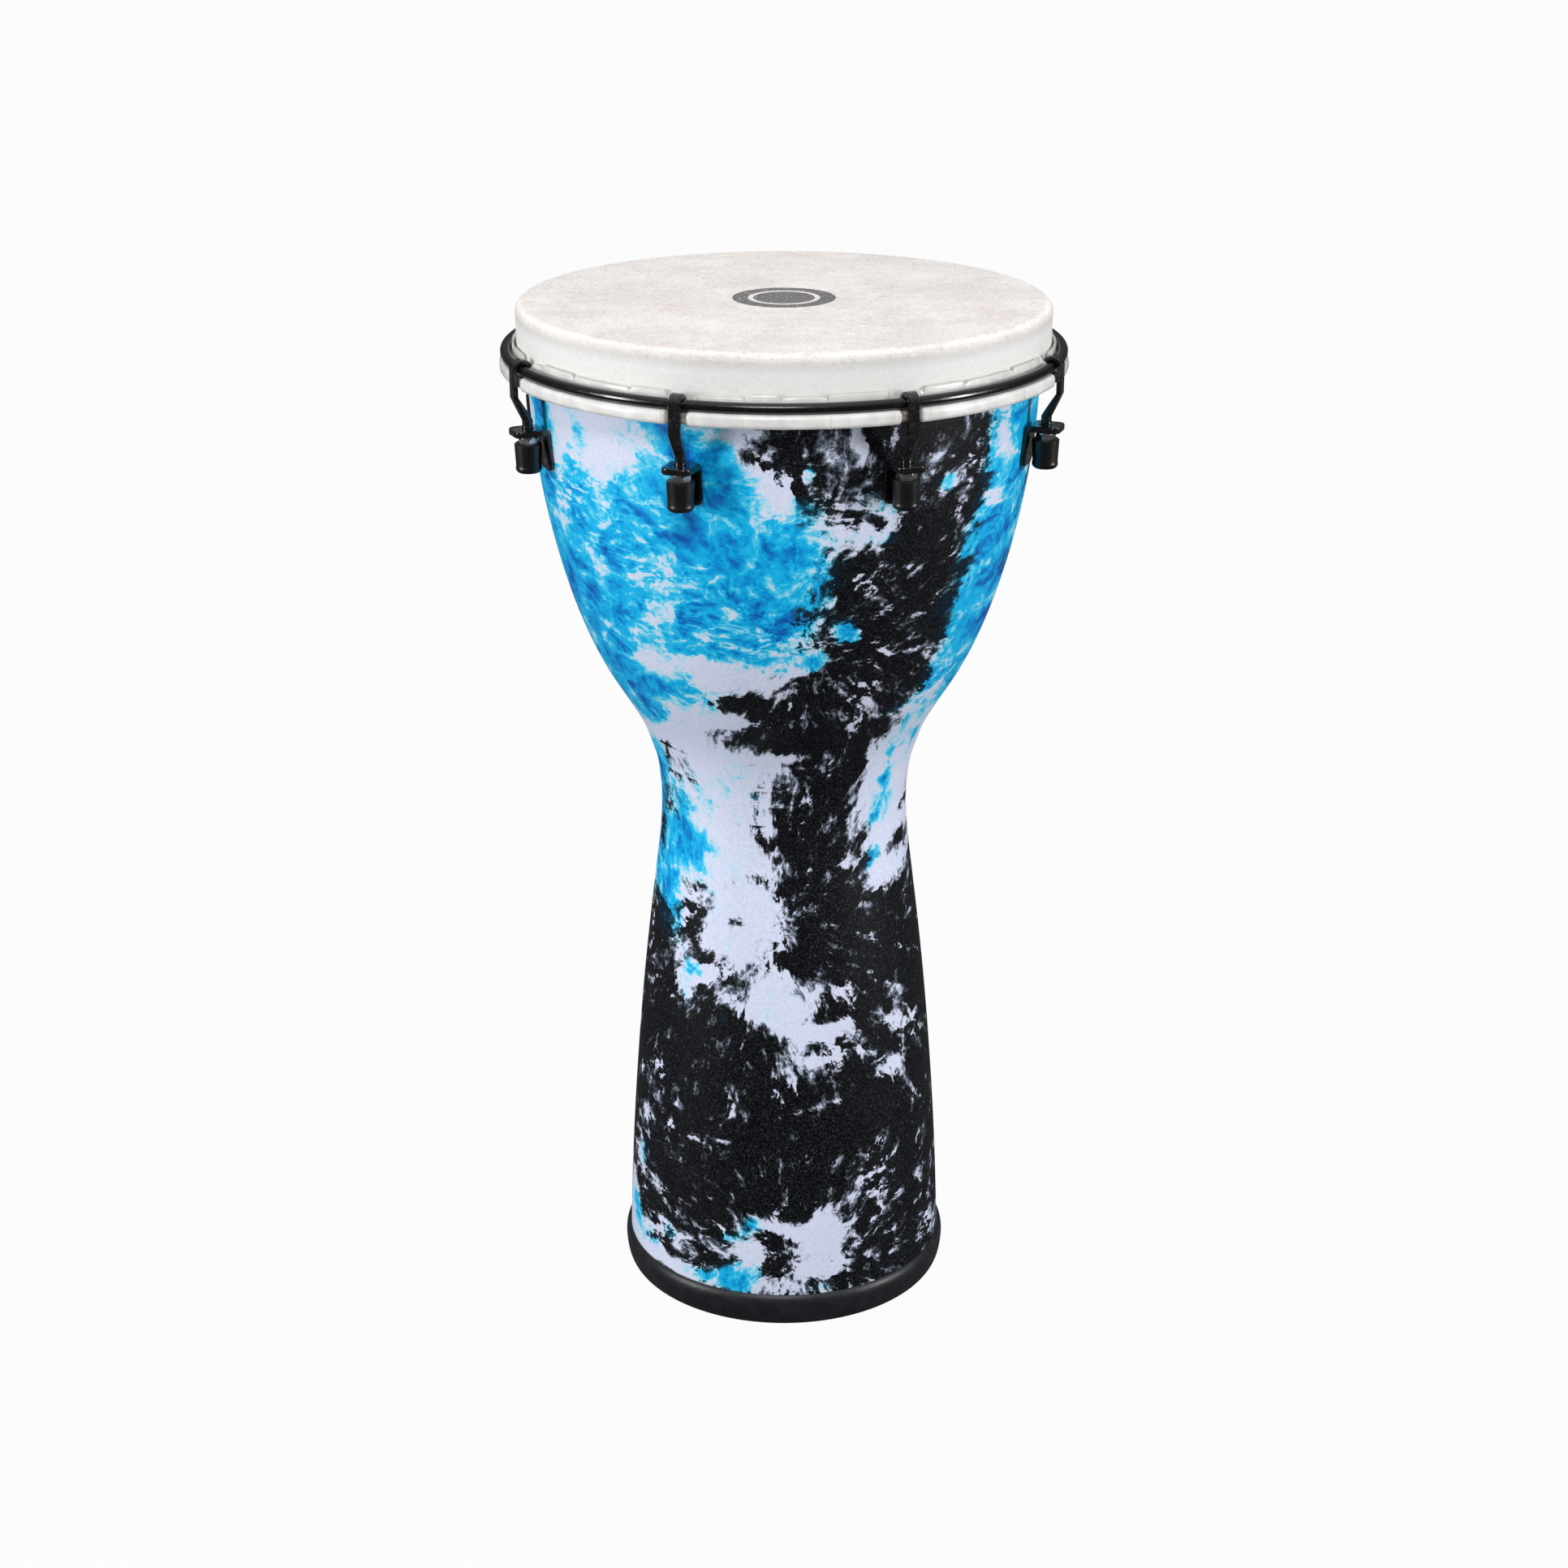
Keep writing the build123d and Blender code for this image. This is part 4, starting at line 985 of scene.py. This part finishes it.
# ------------------------------------------------------------------------ CAD pieces' looks
def dress_hardware():
    plated = plated_material()
    dress(["shell"], fibreglass_material())
    dress(["foot_ring"], rubber_material("foot_rubber", (27, 30, 36), 0.42))
    dress(["flesh_hoop"], hoop_core_material())
    wire = black_metal("black_wire", 0.24, size=0.010, depth=0.00010, wear_and_painted_sheen=0.0, gloss=0.2)
    enamel = black_metal("black_enamel", 0.14, size=0.006, depth=0.00020, wear_and_painted_sheen=0.0, gloss=0.7)
    # the hooks' pale patches are partly wear and partly a painted reflection
    forging = black_metal("black_forging", 0.20, size=0.0022, depth=0.00030, wear_and_painted_sheen=0.35, gloss=0.6)
    dress(["crown_ring"], wire)
    dress(numbered("lug"), enamel)
    dress(numbered("hook"), forging)
    dress(numbered("nut_cap"), rubber_material("cap_rubber", (15, 15, 17), 0.34))
    dress(numbered("nut") + numbered("nut_washer"), plated)
    dress(["lug_bolts", "lug_bolt_washers"], plated)
    for stem, width in EDGE_ROUNDING.items():
        round_edges(numbered(stem), width)


# ----------------------------------------------------------------------------------- studio
CAMERA_DISTANCE = 1.5605
CAMERA_HEIGHT = 0.9245
CAMERA_AZIMUTH = math.radians(-2)
CAMERA_DIP = 21.1
LENS = 62.53
SIDE_LIGHT_AZIMUTH = 69
SIDE_LIGHT_ELEVATION = 9
SIDE_LIGHT_REACH = 2.2
SIDE_LIGHT_SIZE = (0.34, 0.8)
SIDE_LIGHT_POWER = 27
SIDE_LIGHT_TARGET = (0, 0, 0.42)
FRONT_LIGHT_AZIMUTH = -8
FRONT_LIGHT_ELEVATION = 42
FRONT_LIGHT_REACH = 1.9
FRONT_LIGHT_SIZE = (0.6, 0.4)
FRONT_LIGHT_POWER = 12
FRONT_LIGHT_TARGET = (0, 0, 0.48)
FILL_HORIZON = 0.13
FILL_OVERHEAD = 1.35      # added straight above, fading towards the horizon
GLOSS_HORIZON = 0.05
GLOSS_OVERHEAD = 0.90
FLOOR_BOUNCE = 0.30
FLOOR_IN_GLOSS = 0.10
BACKDROP = 1.0
FLOOR_SIZE = 80
FLOOR_GLOW_SHARE = 0.96   # of what the camera sees of the floor, the rest being real shading


def set_camera():
    data = bpy.data.cameras.new("camera")
    data.lens = LENS
    camera = bpy.data.objects.new("camera", data)
    bpy.context.scene.collection.objects.link(camera)
    camera.location = (
        CAMERA_DISTANCE * math.sin(CAMERA_AZIMUTH),
        -CAMERA_DISTANCE * math.cos(CAMERA_AZIMUTH),
        CAMERA_HEIGHT,
    )
    camera.rotation_euler = (math.radians(90 - CAMERA_DIP), 0, CAMERA_AZIMUTH)
    bpy.context.scene.camera = camera


def area_light(name, azimuth, elevation, reach, size, power, target):
    data = bpy.data.lights.new(name, "AREA")
    data.shape = "RECTANGLE"
    data.size, data.size_y = size
    data.energy = power
    light = bpy.data.objects.new(name, data)
    bpy.context.scene.collection.objects.link(light)
    a, e = math.radians(azimuth), math.radians(elevation)
    away = Vector((math.sin(a) * math.cos(e), -math.cos(a) * math.cos(e), math.sin(e)))
    light.location = Vector(target) + away * reach
    light.rotation_euler = away.to_track_quat("Z", "Y").to_euler()


def set_lights():
    for side, name in ((-1, "light_left"), (1, "light_right")):
        area_light(
            name, side * SIDE_LIGHT_AZIMUTH, SIDE_LIGHT_ELEVATION, SIDE_LIGHT_REACH,
            SIDE_LIGHT_SIZE, SIDE_LIGHT_POWER, SIDE_LIGHT_TARGET,
        )
    area_light(
        "light_front", FRONT_LIGHT_AZIMUTH, FRONT_LIGHT_ELEVATION, FRONT_LIGHT_REACH,
        FRONT_LIGHT_SIZE, FRONT_LIGHT_POWER, FRONT_LIGHT_TARGET,
    )


def sky(t, direction, horizon, overhead):
    """Radiance of the studio in a ray's direction, brighter straight up."""
    up = t.math("MAXIMUM", t.split(direction)[2], 0.0)
    return t.add(t.scale(t.math("MULTIPLY", up, up), overhead), horizon)


def set_world():
    """White all round, bright to the camera and to matt surfaces, dim to glossy ones."""
    world = bpy.data.worlds.new("studio")
    world.use_nodes = True
    t = Tree.over(world.node_tree)
    direction = t.nodes.new("ShaderNodeTexCoord").outputs["Generated"]
    path = t.nodes.new("ShaderNodeLightPath").outputs
    soft = sky(t, direction, FILL_HORIZON, FILL_OVERHEAD)
    gloss = sky(t, direction, GLOSS_HORIZON, GLOSS_OVERHEAD)
    radiance = t.blend(path["Is Glossy Ray"], soft, gloss)
    radiance = t.blend(path["Is Camera Ray"], radiance, BACKDROP)
    t.links.new(radiance, t.nodes["Background"].inputs["Strength"])
    t.nodes["Background"].inputs["Color"].default_value = (1, 1, 1, 1)
    bpy.context.scene.world = world


def set_floor():
    """A pale floor that glows to the camera, so that it shows hardly any shadow."""
    bpy.ops.mesh.primitive_plane_add(size=FLOOR_SIZE, location=(0, 0, 0))
    floor = bpy.context.object
    floor.name = "floor"
    material = bpy.data.materials.new("floor")
    material.use_nodes = True
    t = Tree.over(material.node_tree)
    path = t.nodes.new("ShaderNodeLightPath").outputs
    bounce = t.nodes.new("ShaderNodeBsdfDiffuse")
    bounce.inputs["Color"].default_value = (FLOOR_BOUNCE, FLOOR_BOUNCE, FLOOR_BOUNCE, 1)
    glow = t.nodes.new("ShaderNodeEmission")
    t.links.new(t.blend(path["Is Camera Ray"], FLOOR_IN_GLOSS, BACKDROP), glow.inputs["Strength"])
    shares = t.add(t.scale(path["Is Camera Ray"], FLOOR_GLOW_SHARE), path["Is Glossy Ray"])
    choice = t.nodes.new("ShaderNodeMixShader")
    t.links.new(shares, choice.inputs[0])
    t.links.new(bounce.outputs[0], choice.inputs[1])
    t.links.new(glow.outputs[0], choice.inputs[2])
    t.links.new(choice.outputs[0], t.nodes["Material Output"].inputs["Surface"])
    floor.data.materials.append(material)


build_wrap()
build_drumhead()
build_hoop_film()
dress_hardware()
set_camera()
set_world()
set_floor()
set_lights()
bpy.context.scene.view_settings.view_transform = "Standard"
